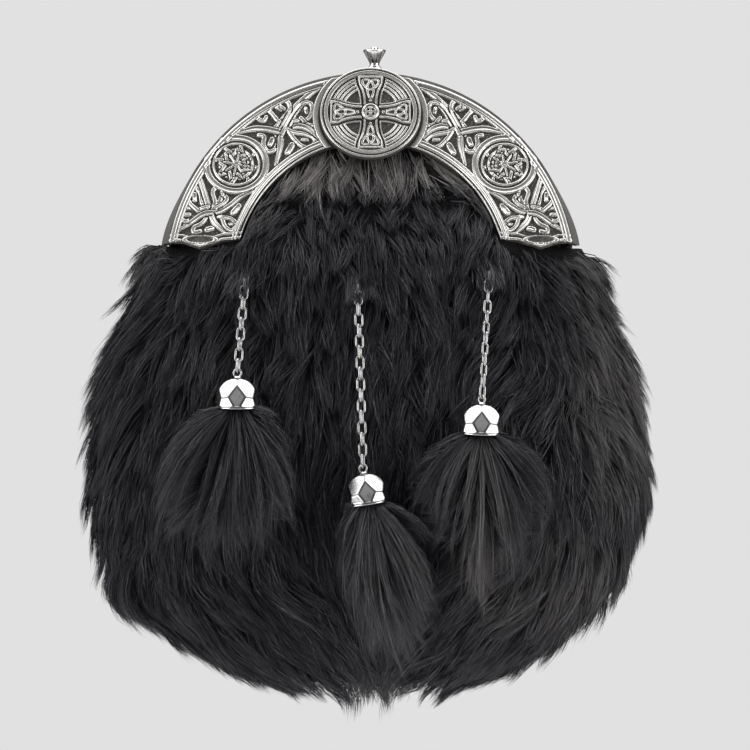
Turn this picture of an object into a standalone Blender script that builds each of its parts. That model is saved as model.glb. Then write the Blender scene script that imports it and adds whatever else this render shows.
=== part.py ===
"""Full-dress sporran: a fur pouch under a cast cantle, with three chain tassels.

Metres, +Z up, the front towards -Y. The origin lies on the back panel's rear face,
midway between the belt loops. Sizes below are millimetres, and MM turns them into metres.
Left and right are the viewer's, looking at the front.
"""

import math
from collections import namedtuple

import bmesh
import bpy
import numpy as np
from mathutils import Matrix, Vector

MM = 0.001
GAP = 0.3  # between neighbouring pieces
SIDEWAYS = Vector((1, 0, 0))
FORWARD = Vector((0, -1, 0))
UP = Vector((0, 0, 1))

Arc = namedtuple("Arc", "z radius")
Edge = namedtuple("Edge", "x z")
Station = namedtuple("Station", "z half_width depth square")
Chain = namedtuple("Chain", "side x_top z_top x_end z_end links turn cap_tilt")
Tuft = namedtuple("Tuft", "drop shift half_width")

# Cantle: a crescent seen from the front, whose flat face leans back
LEAN = math.radians(24)
FACE_Y, FACE_Z = -38.0, -16.0  # a point of the face, at the crescent's ends
FRONT_ARC = Arc(z=-26.65, radius=71.3)
REAR_ARC = Arc(z=-27.5, radius=73.7)
INNER_ARC = Arc(z=-25.5, radius=46.5)
END_Z = -15.0
END_EDGE = (Edge(65.0, -14.8), Edge(57.9, -17.2), Edge(51.5, -15.3))  # the drop at each end
PLATE = 2.0
WALL = 1.6
RIM_STEP = 0.5  # the wall's front edge lies this far behind and outside the plate's edge
BORDER_WIDTH, BORDER_LIFT = 1.7, 0.9
ARC_STEPS, INNER_STEPS = 20, 14
SUNK = -0.5  # how deep the relief is rooted in the plate

# Relief on the cantle: four interlace panels and two small ring bosses, mirrored
UPPER_KNOT = (Edge(30.3, 25.4), Edge(17.0, 39.6), Edge(46.5, 24.3), Edge(34.0, 14.2), Edge(18.0, 21.5))
LOWER_KNOT = (Edge(56.3, -4.6), Edge(60.4, 8.8), Edge(42.3, 2.6), Edge(66.0, -10.6), Edge(49.6, -11.6))
RIBBON_WIDTH, RIBBON_LIFT = 1.5, 0.75
PETAL_LENGTH, PETAL_WIDTH, PETAL_LIFT = 4.6, 2.5, 0.6
BOSS = Edge(47.1, 12.5)
BOSS_RADIUS, BOSS_RING, BOSS_LIFT = 9.5, 1.4, 1.2

# Round boss with the ringed cross
ROUNDEL_Z = 29.9
ROUNDEL_BASE = BORDER_LIFT + GAP
ROUNDEL_PROFILE = (  # radius, lift above the cantle's face
    (10.4, 2.5), (10.7, 3.1), (14.1, 3.1), (14.4, 2.5), (15.3, 2.5), (15.7, 3.8), (17.3, 3.8), (17.8, 3.1),
    (17.8, ROUNDEL_BASE),
)
ROUNDEL_STEPS = 22
CROSS_ARM = ((3.0, 3.0), (3.3, 7.5), (4.7, 14.2))  # half width and reach along one arm
CROSS_LIFT = 3.7
HUB_RADIUS, HUB_LIFT = 3.1, 4.3
POST_X, POST_RADIUS, POST_END = 9.0, 1.1, -1.7

# Finial
FINIAL_X, FINIAL_Y, FINIAL_Z = 1.4, -6.6, 46.9
FINIAL_PROFILE = (  # radius, height above its seat
    (0.9, -3.0), (0.9, 0.0), (2.6, 0.0), (2.6, 0.7), (1.7, 1.4), (1.7, 2.3), (2.5, 3.9), (3.9, 6.3), (4.1, 7.0),
    (3.3, 7.3), (1.3, 6.9), (1.3, 8.1),
)
FINIAL_STEPS = 10

# Leather pouch behind the fur, open at the back, and the fur's outer form
BACK = 2.8  # the pouch's open edge lies this far in front of the origin
LEATHER = 2.0
SKIN = 1.0  # the pelt's hide where the cantle covers it
SKIN_ARC = Arc(FRONT_ARC.z, FRONT_ARC.radius - WALL - GAP)
POUCH_ARC = Arc(FRONT_ARC.z, SKIN_ARC.radius - SKIN - GAP)
HIDDEN_TURNS = (9, 18, 28, 40, 53, 67, 82.6)  # rows inside the cantle's wall, in degrees from its top
SHOULDER_Z = -17.7  # where the last of them lies, just under the cantle's ends
POUCH = (
    Station(-28, 71.0, 36.0, 4.5),
    Station(-44, 77.0, 38.5, 3.8),
    Station(-62, 83.0, 40.5, 3.4),
    Station(-82, 86.5, 42.0, 3.1),
    Station(-102, 87.0, 42.5, 3.0),
    Station(-120, 82.5, 41.5, 2.9),
    Station(-136, 73.5, 38.5, 2.7),
    Station(-149, 61.0, 33.0, 2.6),
    Station(-159, 45.0, 25.5, 2.5),
    Station(-165, 27.0, 17.0, 2.4),
)
PELT = (
    Station(-18.3, 75.5, 45.5, 3.6),
    Station(-26, 82.0, 47.0, 3.4),
    Station(-40, 87.5, 49.0, 3.2),
    Station(-56, 94.5, 51.0, 3.0),
    Station(-72, 98.5, 52.5, 2.9),
    Station(-90, 100.0, 53.5, 2.8),
    Station(-106, 100.5, 53.5, 2.8),
    Station(-120, 96.5, 53.0, 2.7),
    Station(-134, 91.5, 51.5, 2.6),
    Station(-146, 82.0, 48.5, 2.6),
    Station(-157, 68.5, 43.5, 2.5),
    Station(-167, 52.0, 36.0, 2.4),
    Station(-174, 30.0, 27.0, 2.2),
    Station(-178, 20.0, 22.0, 2.2),
)
PELT_LIFT = (Edge(42, -0.5), Edge(12, -0.5), Edge(2, 1.6), Edge(-8, 4.2), Edge(-18, 6.2))  # lift at each z
ARCH_HALF = 40.0  # the fur under the arch is ridged this far to each side
HEMS = (-38, -60, -83, -106, -128, -147, -162)
LOCK_COLUMNS, POUCH_COLUMNS = 25, 11
LOCK_TIP, LOCK_STEP, LOCK_VALLEY = 4.5, 2.4, 1.5
PELT_BOTTOM, BOTTOM_TIP = -174.2, 2.2

# Back
PANEL = 2.5
PANEL_MARGIN = 1.0
MOUTH_HALF, MOUTH_TOP, MOUTH_LOW = 54.0, -26.0, -41.0
FLAP_HALF = 61.0
FLAP_LINE = (Edge(GAP, -19.0), Edge(GAP, -24.0), Edge(5.0, -31.0), Edge(6.6, -38.0), Edge(6.0, -48.0))
FLAP_THICKNESS = 2.0
LOOP_X, LOOP_WIDTH = 44.0, 16.0
LOOP_LINE = (Edge(GAP, 17.0), Edge(GAP, 12.0), Edge(7.3, 9.0), Edge(7.3, -9.0), Edge(GAP, -12.0), Edge(GAP, -17.0))
LOOP_THICKNESS = 2.0

# Tassels: chain, stud, cap and fur
WIRE, WIRE_SIDES = 0.56, 5
LINK_BEND, LINK_STRAIGHT, PITCH = 1.4, 0.95, 3.8
EYE, EYE_WIRE, SHANK = 1.9, 0.6, 1.0
STUD_HEAD, STUD_SLACK = 3.0, 2.2  # the head's radius, and its distance behind the leather
CHAIN_OFF, CAP_OFF = 3.2, 9.0  # the chain's and the cap's distance in front of the fur
CHAINS = (
    Chain("left", -43.6, -30.0, -45.9, -62.0, 8, 0, 0.0),
    Chain("middle", -4.3, -32.0, -2.4, -97.0, 16, 0, 9.0),
    Chain("right", 41.1, -27.5, 38.1, -74.0, 11, 40, -2.0),
)
BAIL, BAIL_WIRE = 1.7, 0.55
CAP_RADIUS, CAP_LIP = 7.5, -12.6  # the lip lies this far below the bail's centre
CAP_RINGS = (Edge(2.7, -1.3), Edge(5.4, -2.9), Edge(7.1, -6.1), Edge(7.5, -10.0))  # radius and height
CAP_HOLLOW = (Edge(6.3, -12.6), Edge(5.3, -7.0))
PLUG = (Edge(4.5, -7.4), Edge(5.4, -12.6))
TUFTS = {
    "left": (
        Tuft(2, -0.2, 9.5), Tuft(8, -1.4, 18.4), Tuft(18.5, -2.3, 22.6), Tuft(31, -5.0, 26.0), Tuft(42, -3.7, 22.0),
        Tuft(51, -2.9, 15.0),
    ),
    "middle": (
        Tuft(2.5, 3.0, 9.5), Tuft(9, 4.6, 13.0), Tuft(18, 5.8, 15.6), Tuft(30.5, 8.4, 16.6), Tuft(42.5, 9.1, 13.5),
        Tuft(52, 9.3, 8.0),
    ),
    "right": (
        Tuft(1.8, 0.0, 9.5), Tuft(5, 0.3, 17.0), Tuft(17, -0.7, 25.0), Tuft(33, 0.3, 18.5), Tuft(46, 1.3, 14.5),
        Tuft(56, 0.6, 8.0),
    ),
}
TUFT_COLUMNS, TUFT_FRONT, TUFT_BACK, TUFT_DEEPEST = 14, 0.66, 7.2, 15.0
TUFT_VALLEY, TUFT_TIP = 0.86, 2.2


# ---- meshes ----


def clear_scene():
    for obj in list(bpy.data.objects):
        bpy.data.objects.remove(obj, do_unlink=True)


def finish(name, colour, metallic, roughness):
    """A plain material."""
    material = bpy.data.materials.new(name)
    material.use_nodes = True
    shader = material.node_tree.nodes["Principled BSDF"]
    shader.inputs["Base Color"].default_value = (*colour, 1.0)
    shader.inputs["Metallic"].default_value = metallic
    shader.inputs["Roughness"].default_value = roughness
    material.diffuse_color = (*colour, 1.0)
    return material


def skin(rows, ring=False):
    """Faces between rows of equally many points, each a closed loop, capped unless the rows form a ring."""
    count = len(rows[0])
    faces = []
    for row in range(len(rows) if ring else len(rows) - 1):
        near, far = row * count, (row + 1) % len(rows) * count
        for i in range(count):
            j = (i + 1) % count
            faces.append((near + i, near + j, far + j, far + i))
    if not ring:
        faces.append(tuple(range(count)))
        faces.append(tuple(range((len(rows) - 1) * count, len(rows) * count)))
    return [point for row in rows for point in row], faces


def loaf(rows):
    """A form from open rows, shut above and below and flat at the back, where the rows end."""
    count = len(rows[0])
    faces = [tuple(range(count)), tuple(range((len(rows) - 1) * count, len(rows) * count))]
    for near in range(0, (len(rows) - 1) * count, count):
        for i in range(near, near + count - 1):
            faces.append((i, i + 1, i + 1 + count, i + count))
    starts = range(0, len(rows) * count, count)
    faces.append((*starts, *(start + count - 1 for start in reversed(starts))))
    return [point for row in rows for point in row], faces


def add_object(name, shells, material=None, smooth=False):
    """One object from closed shells given in millimetres, their faces turned outwards."""
    points, faces = [], []
    for shell_points, shell_faces in shells:
        faces += [[index + len(points) for index in face] for face in shell_faces]
        points += [Vector(point) * MM for point in shell_points]
    mesh = bpy.data.meshes.new(name)
    mesh.from_pydata(points, [], faces)
    work = bmesh.new()
    work.from_mesh(mesh)
    bmesh.ops.recalc_face_normals(work, faces=work.faces)
    work.to_mesh(mesh)
    work.free()
    obj = bpy.data.objects.new(name, mesh)
    bpy.context.scene.collection.objects.link(obj)
    if material:
        mesh.materials.append(material)
    if smooth:
        mesh.shade_smooth()
        mesh.set_sharp_from_angle(angle=math.radians(35))
    return obj


def combine(obj, operation, shells, use_self=False, solver="EXACT"):
    """Unites obj with closed shells, or cuts them from it, by a Boolean with a hidden helper."""
    helper = add_object(f"{obj.name}_{operation.lower()}_helper", shells)
    helper.hide_render = True
    helper.display_type = "WIRE"
    modifier = obj.modifiers.new(operation.title(), "BOOLEAN")
    modifier.operation = operation
    modifier.object = helper
    modifier.solver = solver
    modifier.use_self = use_self
    return helper


def round_rows(rings, steps, place):
    """Rows round an axis from (radius, height) pairs; place turns (across, along, height) into a point."""
    rows = []
    for radius, height in rings:
        turns = (2 * math.pi * step / steps for step in range(steps))
        rows.append([place(radius * math.cos(turn), radius * math.sin(turn), height) for turn in turns])
    return rows


def torus(centre, axis, radius, wire, steps, sides):
    """A ring round axis."""
    across = axis.orthogonal().normalized()
    along = axis.cross(across).normalized()
    rows = []
    for step in range(steps):
        turn = 2 * math.pi * (step + 0.5) / steps
        out = across * math.cos(turn) + along * math.sin(turn)
        sides_turn = (2 * math.pi * side / sides for side in range(sides))
        rows.append(
            [centre + out * radius - wire * (out * math.cos(a) + axis * math.sin(a)) for a in sides_turn]
        )
    return skin(rows, ring=True)


def rod(start, end, radius, sides):
    """A plain straight rod."""
    axis = (end - start).normalized()
    across = axis.orthogonal().normalized()
    along = axis.cross(across)
    turns = [2 * math.pi * side / sides for side in range(sides)]
    offsets = [radius * (across * math.cos(turn) + along * math.sin(turn)) for turn in turns]
    return skin([[start + offset for offset in offsets], [end + offset for offset in offsets]])


# ---- the cantle's leaning face ----

NORMAL = Vector((0, -math.cos(LEAN), math.sin(LEAN)))
UPHILL = Vector((0, math.sin(LEAN), math.cos(LEAN)))


def on_face(x, z, lift=0.0):
    """The point of the cantle's face seen at x, z from the front, raised by lift."""
    return Vector((x, FACE_Y + (z - FACE_Z) * math.tan(LEAN), z)) + NORMAL * lift


def face_depth(z):
    return -on_face(0, z).y


def face_disc(x, z):
    """A placing function for round things on the face: across, uphill and lift from a centre."""
    centre = on_face(x, z)
    return lambda across, along, lift: centre + SIDEWAYS * across + UPHILL * along + NORMAL * lift


def arc_points(arc, inset, low_z, steps):
    """Points along an arc from its right end at low_z over the top to its left end."""
    radius = arc.radius - inset
    start = math.asin((low_z - arc.z) / radius)
    turns = np.linspace(start, math.pi - start, steps + 1)
    return [Edge(radius * math.cos(turn), arc.z + radius * math.sin(turn)) for turn in turns]


def crescent(inset):
    """The crescent's outline, drawn in by inset."""
    low = END_Z + inset
    outer = arc_points(FRONT_ARC, inset, low, ARC_STEPS)
    inner = arc_points(INNER_ARC, -inset, low, INNER_STEPS)
    edge = [Edge(point.x, point.z + inset) for point in END_EDGE]
    left_edge = [Edge(-point.x, point.z) for point in edge]
    return outer + left_edge + inner[::-1] + edge[::-1]


def ribbon(path, width, lift):
    """A raised band along a path on the face, tapering to its ends."""
    rows = []
    for i, point in enumerate(path):
        before, after = path[max(i - 1, 0)], path[min(i + 1, len(path) - 1)]
        run = Vector((after.x - before.x, after.z - before.z)).normalized()
        share = i / (len(path) - 1)
        half = width * (0.3 + 0.7 * math.sin(math.pi * min(share * 2.2, 0.5))) / 2
        left = Edge(point.x - run.y * half, point.z + run.x * half)
        right = Edge(point.x + run.y * half, point.z - run.x * half)
        rows.append([on_face(*left, SUNK), on_face(*left, lift), on_face(*right, lift), on_face(*right, SUNK)])
    return skin(rows)


def bowed(start, end, bow, steps):
    """Points from start to end, bowed sideways."""
    run = Vector((end.x - start.x, end.z - start.z))
    points = []
    for share in np.linspace(0, 1, steps + 1):
        side = bow * math.sin(math.pi * share)
        points.append(Edge(start.x + run.x * share - run.y * side, start.z + run.y * share + run.x * side))
    return points


def petal(centre, run, length, width):
    """A raised lozenge along run."""
    side = Vector((-run.y, run.x))
    corners = ((0.5, 0), (0, 0.5), (-0.5, 0), (0, -0.5))
    spots = [centre + run * length * a + side * width * b for a, b in corners]
    low = [on_face(*spot, SUNK) for spot in spots]
    high = [on_face(*(centre + (spot - centre) * 0.8), PETAL_LIFT) for spot in spots]
    return skin([low, high])


def knot(points, mirror):
    """An interlace panel: four bowed arms from a centre, each with a loop on either side."""
    centre, *tips = [Edge(mirror * point.x, point.z) for point in points]
    shells = []
    for i in range(2):
        path = bowed(tips[i], centre, 0.08 * mirror, 2) + bowed(centre, tips[i + 2], -0.08 * mirror, 2)[1:]
        shells.append(ribbon(path, RIBBON_WIDTH, RIBBON_LIFT - 0.12 * i))
    for i, tip in enumerate(tips):
        run = Vector((tip.x - centre.x, tip.z - centre.z))
        for side in (1, -1):
            off = Vector((-run.y, run.x)).normalized() * side * 3.1
            spot = Vector(centre) + run * 0.5 + off
            shells.append(petal(spot, run.normalized(), PETAL_LENGTH, PETAL_WIDTH))
    return shells


def small_boss(mirror):
    """A ring with an eight-pointed star in it."""
    place = face_disc(mirror * BOSS.x, BOSS.z)
    rings = ((BOSS_RADIUS, SUNK), (BOSS_RADIUS, BOSS_LIFT), (BOSS_RADIUS - BOSS_RING, BOSS_LIFT))
    rings += ((BOSS_RADIUS - BOSS_RING, SUNK),)
    ring = skin(round_rows(rings, 14, place), ring=True)
    star = []
    for lift in (SUNK, RIBBON_LIFT):
        turns = [(math.pi * i / 8, 6.9 if i % 2 == 0 else 2.6) for i in range(16)]
        star.append([place(reach * math.cos(turn), reach * math.sin(turn), lift) for turn, reach in turns])
    return [ring, skin(star)]


def cantle_wall():
    """The flared side wall, from the face's outer edge back to the panel."""
    front = arc_points(FRONT_ARC, 0, END_Z, ARC_STEPS)
    front_in = arc_points(FRONT_ARC, WALL, END_Z, ARC_STEPS)
    rear = arc_points(REAR_ARC, 0, END_Z, ARC_STEPS)
    rear_in = arc_points(REAR_ARC, WALL, END_Z, ARC_STEPS)
    rows = []
    for a, b, c, d in zip(front, rear, rear_in, front_in):
        rows.append(
            [
                on_face(*a, -RIM_STEP),
                Vector((b.x, -BACK, b.z)),
                Vector((c.x, -BACK, c.z)),
                on_face(*d, -PLATE / 2),
            ]
        )
    return skin(rows)


def cantle(material):
    plate_edge = crescent(RIM_STEP)
    plate = skin([[on_face(*point, lift) for point in plate_edge] for lift in (-PLATE, 0)])
    obj = add_object("cantle", [plate], material)
    border = ((RIM_STEP * 2, SUNK), (RIM_STEP * 2, BORDER_LIFT))
    border += ((RIM_STEP * 2 + BORDER_WIDTH, BORDER_LIFT), (RIM_STEP * 2 + BORDER_WIDTH, SUNK))
    relief = [skin([[on_face(*point, lift) for point in crescent(inset)] for inset, lift in border], ring=True)]
    for mirror in (1, -1):
        relief += knot(UPPER_KNOT, mirror) + knot(LOWER_KNOT, mirror) + small_boss(mirror)
    combine(obj, "UNION", relief + [cantle_wall()], use_self=True)
    holes = [
        rod(on_face(x, ROUNDEL_Z, -PLATE - 1), on_face(x, ROUNDEL_Z, BORDER_LIFT), POST_RADIUS + GAP, 8)
        for x in (-POST_X, POST_X)
    ]
    seat = Vector((FINIAL_X, FINIAL_Y, FINIAL_Z))
    holes.append(rod(seat - UP * 5, seat + UP, FINIAL_PROFILE[0][0] + GAP, 8))
    combine(obj, "DIFFERENCE", holes)
    return obj


def cross_outline():
    """The four-armed cross, one arm's outline turned four times."""
    outline = []
    for quarter in range(4):
        turn = Matrix.Rotation(math.pi / 2 * quarter, 2)
        arm = [Vector((half, reach)) for half, reach in CROSS_ARM]
        arm += [Vector((-half, reach)) for half, reach in CROSS_ARM[:0:-1]]
        outline += [turn @ point for point in arm]
    return outline


def cross_roundel(material):
    place = face_disc(0, ROUNDEL_Z)
    rows = round_rows(ROUNDEL_PROFILE, ROUNDEL_STEPS, place)
    obj = add_object("cross_roundel", [skin(rows)], material, smooth=True)
    floor = ROUNDEL_PROFILE[0][1] + SUNK
    outline = cross_outline()
    cross = skin([[place(*point, lift) for point in outline] for lift in (floor, CROSS_LIFT)])
    hub = skin(round_rows(((HUB_RADIUS, floor - 0.1), (HUB_RADIUS, CROSS_LIFT), (2.2, HUB_LIFT)), 10, place))
    posts = [rod(place(x, 0, POST_END), place(x, 0, floor - 0.2), POST_RADIUS, 8) for x in (-POST_X, POST_X)]
    combine(obj, "UNION", [cross, hub, *posts], use_self=True)
    return obj


def finial(material):
    seat = Vector((FINIAL_X, FINIAL_Y, FINIAL_Z))
    rows = round_rows(FINIAL_PROFILE, FINIAL_STEPS, lambda x, y, height: seat + Vector((x, y, height)))
    return add_object("finial", [skin(rows)], material, smooth=True)


# ---- pouch and pelt ----


def between(table, z):
    """The station at z, read between a table's rows from the top down."""
    heights = [row.z for row in table][::-1]
    columns = [[getattr(row, field) for row in table][::-1] for field in Station._fields[1:]]
    return Station(z, *(float(np.interp(z, heights, column)) for column in columns))


def under_cantle(arc, turn, inset, lift):
    """A station of what lies inside the cantle's wall, lift in front of its face."""
    turn = math.radians(turn)
    z = arc.z + (arc.radius - inset) * math.cos(turn)
    depth = face_depth(z) + lift / math.cos(LEAN) - inset
    return Station(z, (arc.radius - inset) * math.sin(turn), depth, 6.0)


def pouch_stations(inset=0.0):
    """The pouch's stations from the top down, drawn in by inset."""
    hide = PLATE + GAP + SKIN + GAP
    hidden = [under_cantle(POUCH_ARC, turn, inset, -hide) for turn in HIDDEN_TURNS]
    free = [row._replace(half_width=row.half_width - inset, depth=row.depth - inset) for row in POUCH]
    free[-1] = free[-1]._replace(z=POUCH[-1].z + inset)
    return hidden + free


def section(station, count):
    """Points of a station from its left rear edge round the front to the right one, evenly spaced."""
    turns = np.linspace(-math.pi / 2, math.pi / 2, 241)
    power = 2 / station.square
    across = station.half_width * np.sign(turns) * np.abs(np.sin(turns)) ** power
    forward = BACK + (station.depth - BACK) * np.clip(np.cos(turns), 0, 1) ** power
    run = np.concatenate([[0], np.cumsum(np.hypot(np.diff(across), np.diff(forward)))])
    stops = np.linspace(0, run[-1], count)
    pairs = zip(np.interp(stops, run, across), np.interp(stops, run, forward))
    return [Vector((x, -y, station.z)) for x, y in pairs]


def front_of(station, x):
    """How far in front of the origin a station reaches at x."""
    share = min(abs(x) / station.half_width, 0.99)
    return BACK + (station.depth - BACK) * (1 - share**station.square) ** (1 / station.square)


def leather_form(inset):
    """The pouch's closed form, drawn in by inset. A form that cuts runs on past the open back."""
    rows = [section(station, POUCH_COLUMNS) for station in pouch_stations(inset)]
    if inset:
        past = Vector((0, BACK - 1.0, 0))
        rows = [[row[0] + past, *row, row[-1] + past] for row in rows]
    return loaf(rows)


def pouch_body(material):
    obj = add_object("pouch_body", [leather_form(0)], material, smooth=True)
    combine(obj, "DIFFERENCE", [leather_form(LEATHER)], solver="MANIFOLD")
    return obj


def hidden_fur_rows():
    """The pelt's rows from the cantle's top to its ends, ridged under the arch alone."""
    rows = []
    for index, turn in enumerate(HIDDEN_TURNS):
        z = SKIN_ARC.z + SKIN_ARC.radius * math.cos(math.radians(turn))
        lift = float(np.interp(z, [row.x for row in PELT_LIFT][::-1], [row.z for row in PELT_LIFT][::-1]))
        full = section(under_cantle(SKIN_ARC, turn, 0, lift), LOCK_COLUMNS)
        for column, point in enumerate(full):
            if z < INNER_ARC.z + INNER_ARC.radius and abs(point.x) < ARCH_HALF and (column + index) % 2:
                point.y += LOCK_VALLEY
        rows.append(full)
    return rows


def lock_rows():
    """Rows of the free fur: courses of locks with staggered tips, each stepping in under the last."""
    rows = [section(PELT[0], LOCK_COLUMNS)]
    for course, hem in enumerate(HEMS):
        tips = [(column + course) % 2 == 0 for column in range(LOCK_COLUMNS)]
        for inset_tip, inset_valley, rise in ((0, LOCK_VALLEY, 0), (LOCK_STEP, LOCK_STEP, 0.8)):
            row = []
            for column, tip in enumerate(tips):
                full = between(PELT, hem + (-LOCK_TIP if tip else LOCK_TIP) + rise)
                inset = inset_tip if tip else inset_valley
                drawn_in = full._replace(half_width=full.half_width - inset, depth=full.depth - inset)
                row.append(section(drawn_in, LOCK_COLUMNS)[column])
            rows.append(row)
    ends = [PELT_BOTTOM + (-BOTTOM_TIP if column % 2 else BOTTOM_TIP) for column in range(LOCK_COLUMNS)]
    rows.append([section(between(PELT, z), LOCK_COLUMNS)[column] for column, z in enumerate(ends)])
    return rows


def cantle_room():
    """The space that the cantle's plate takes, cut from the pelt in front of the hide."""
    arch = arc_points(INNER_ARC, GAP, SHOULDER_Z + 0.1, 2 * INNER_STEPS)
    wide, high = 100.0, 70.0
    low = arch[0].z
    outline = [Edge(wide, low), Edge(wide, high), Edge(-wide, high), Edge(-wide, low)] + arch[::-1]
    behind = -PLATE - GAP
    near = [on_face(*point, behind) for point in outline]
    far = [on_face(*point, behind) + FORWARD * 60 for point in outline]
    return skin([near, far])


def fur_pelt(material, shanks):
    obj = add_object("fur_pelt", [loaf(hidden_fur_rows() + lock_rows())], material)
    for shells in ([leather_form(-2 * GAP)], [cantle_room()], shanks):
        combine(obj, "DIFFERENCE", shells, solver="MANIFOLD")
    return obj


# ---- back ----


def panel_outline():
    """The back panel: the cantle's rear arc above, the pouch's width below."""
    arc = arc_points(REAR_ARC, 0, END_Z, ARC_STEPS)
    free = pouch_stations()[len(HIDDEN_TURNS) - 1 :]
    side = [Edge(station.half_width + PANEL_MARGIN, station.z) for station in free]
    low = POUCH[-1].z - PANEL_MARGIN - 1
    foot = [Edge(POUCH[-1].half_width * 0.7, low), Edge(-POUCH[-1].half_width * 0.7, low)]
    left = [Edge(-point.x, point.z) for point in side]
    return arc + left + foot[::-1] + side[::-1]


def stadium(half, top, low, steps):
    """A slot's outline with round ends."""
    radius = (top - low) / 2
    middle = (top + low) / 2
    points = []
    for side in (1, -1):
        for turn in np.linspace(-math.pi / 2, math.pi / 2, steps + 1):
            across = side * (half - radius + radius * math.cos(turn))
            points.append(Edge(across, middle + side * radius * math.sin(turn)))
    return points


def slab(outline, rear, front):
    """A flat piece between two depths."""
    return skin([[Vector((point.x, y, point.z)) for point in outline] for y in (rear, front)])


def back_panel(material):
    obj = add_object("back_panel", [slab(panel_outline(), 0.0, -PANEL)], material)
    combine(obj, "DIFFERENCE", [slab(stadium(MOUTH_HALF, MOUTH_TOP, MOUTH_LOW, 5), 1.0, -PANEL - 1)])
    return obj


def bent_strip(line, thickness, low_x, high_x):
    """A leather strip of one width that follows a side-view line, x of each edge being its distance behind."""
    outer = []
    for i, point in enumerate(line):
        before, after = line[max(i - 1, 0)], line[min(i + 1, len(line) - 1)]
        run = Vector((after.x - before.x, after.z - before.z)).normalized()
        side = Vector((-run.y, run.x))
        outer.append(Vector(point) + side * thickness)
    profile = [Vector(point) for point in line] + outer[::-1]
    return skin([[Vector((x, y, z)) for y, z in profile] for x in (low_x, high_x)])


def mouth_flap(material):
    return add_object("mouth_flap", [bent_strip(FLAP_LINE, FLAP_THICKNESS, -FLAP_HALF, FLAP_HALF)], material)


def belt_loop(side, x, material):
    strip = bent_strip(LOOP_LINE, LOOP_THICKNESS, x - LOOP_WIDTH / 2, x + LOOP_WIDTH / 2)
    return add_object(f"belt_loop_{side}", [strip], material)


# ---- tassels ----


def chain_line(chain):
    """Link centres down a chain, after the eye's centre and before the bail's."""
    spots = []
    z = chain.z_top
    step = 0.02
    while len(spots) < chain.links + 2:
        share = (chain.z_top - z) / (chain.z_top - chain.z_end)
        ease = min(max(share, 0.0), 1.0)
        off = CHAIN_OFF + (CAP_OFF - CHAIN_OFF) * ease * ease * (3 - 2 * ease)
        x = chain.x_top + (chain.x_end - chain.x_top) * share
        spot = Vector((x, -front_of(between(PELT, z), x) - off, z))
        # The eye and the bail are smaller than a link, so they sit nearer to their neighbour.
        reach = PITCH if 2 <= len(spots) <= chain.links else end_reach(len(spots) > 1)
        if not spots or (spot - spots[-1]).length >= reach:
            spots.append(spot)
        z -= step
    return spots


def end_reach(bail):
    """From a link's centre to the eye's or the bail's, with a gap between the wires."""
    ring, wire = (BAIL, BAIL_WIRE) if bail else (EYE, EYE_WIRE)
    return LINK_BEND + LINK_STRAIGHT + ring - wire - WIRE - GAP


def link(centre, along, across):
    """A long oval link of round wire."""
    normal = along.cross(across)
    rows = []
    for end in (1, -1):
        for step in range(5):
            turn = math.pi * step / 4
            out = (across * math.cos(turn) + along * math.sin(turn)) * end
            middle = centre + along * end * LINK_STRAIGHT + out * LINK_BEND
            sides = (2 * math.pi * side / WIRE_SIDES for side in range(WIRE_SIDES))
            rows.append([middle - WIRE * (out * math.cos(a) + normal * math.sin(a)) for a in sides])
    return skin(rows, ring=True)


def link_turn(chain, index):
    """A link's turn about the chain: every other one is a quarter turn on, and the chain twists by its turn."""
    return math.radians(90 * index + chain.turn * min(index / 4, 1.0))


def chain_links(chain, line, material):
    shells = []
    for i in range(1, chain.links + 1):
        along = (line[i - 1] - line[i + 1]).normalized()
        flat = (SIDEWAYS - along * SIDEWAYS.dot(along)).normalized()
        across = Matrix.Rotation(link_turn(chain, i - 1), 3, along) @ flat
        shells.append(link(line[i], along, across))
    obj = add_object(f"chain_{chain.side}", shells[0::2], material, smooth=True)
    combine(obj, "UNION", shells[1::2])
    return obj


def stud_shank(eye):
    """Both ends of a stud's shank, from its eye through the fur and the leather."""
    wall = front_of(between(pouch_stations(), eye.z), eye.x)
    return eye - FORWARD * (EYE + 0.1), Vector((eye.x, -wall + LEATHER + STUD_SLACK, eye.z))


def chain_stud(chain, eye, material):
    front, rear = stud_shank(eye)
    obj = add_object(f"chain_stud_{chain.side}", [torus(eye, SIDEWAYS, EYE, EYE_WIRE, 8, 5)], material, smooth=True)
    head = rod(rear - Vector((0, 0.2, 0)), rear + Vector((0, 1.0, 0)), STUD_HEAD, 10)
    combine(obj, "UNION", [rod(front, rear, SHANK, 7), head], use_self=True)
    return obj


def cap_place(chain, bail):
    """A placing function in a cap's own tilted frame, its bail's centre the origin."""
    tilt = Matrix.Rotation(math.radians(-chain.cap_tilt), 3, "Y")
    return lambda x, y, height: bail + tilt @ Vector((x, y, height))


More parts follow.
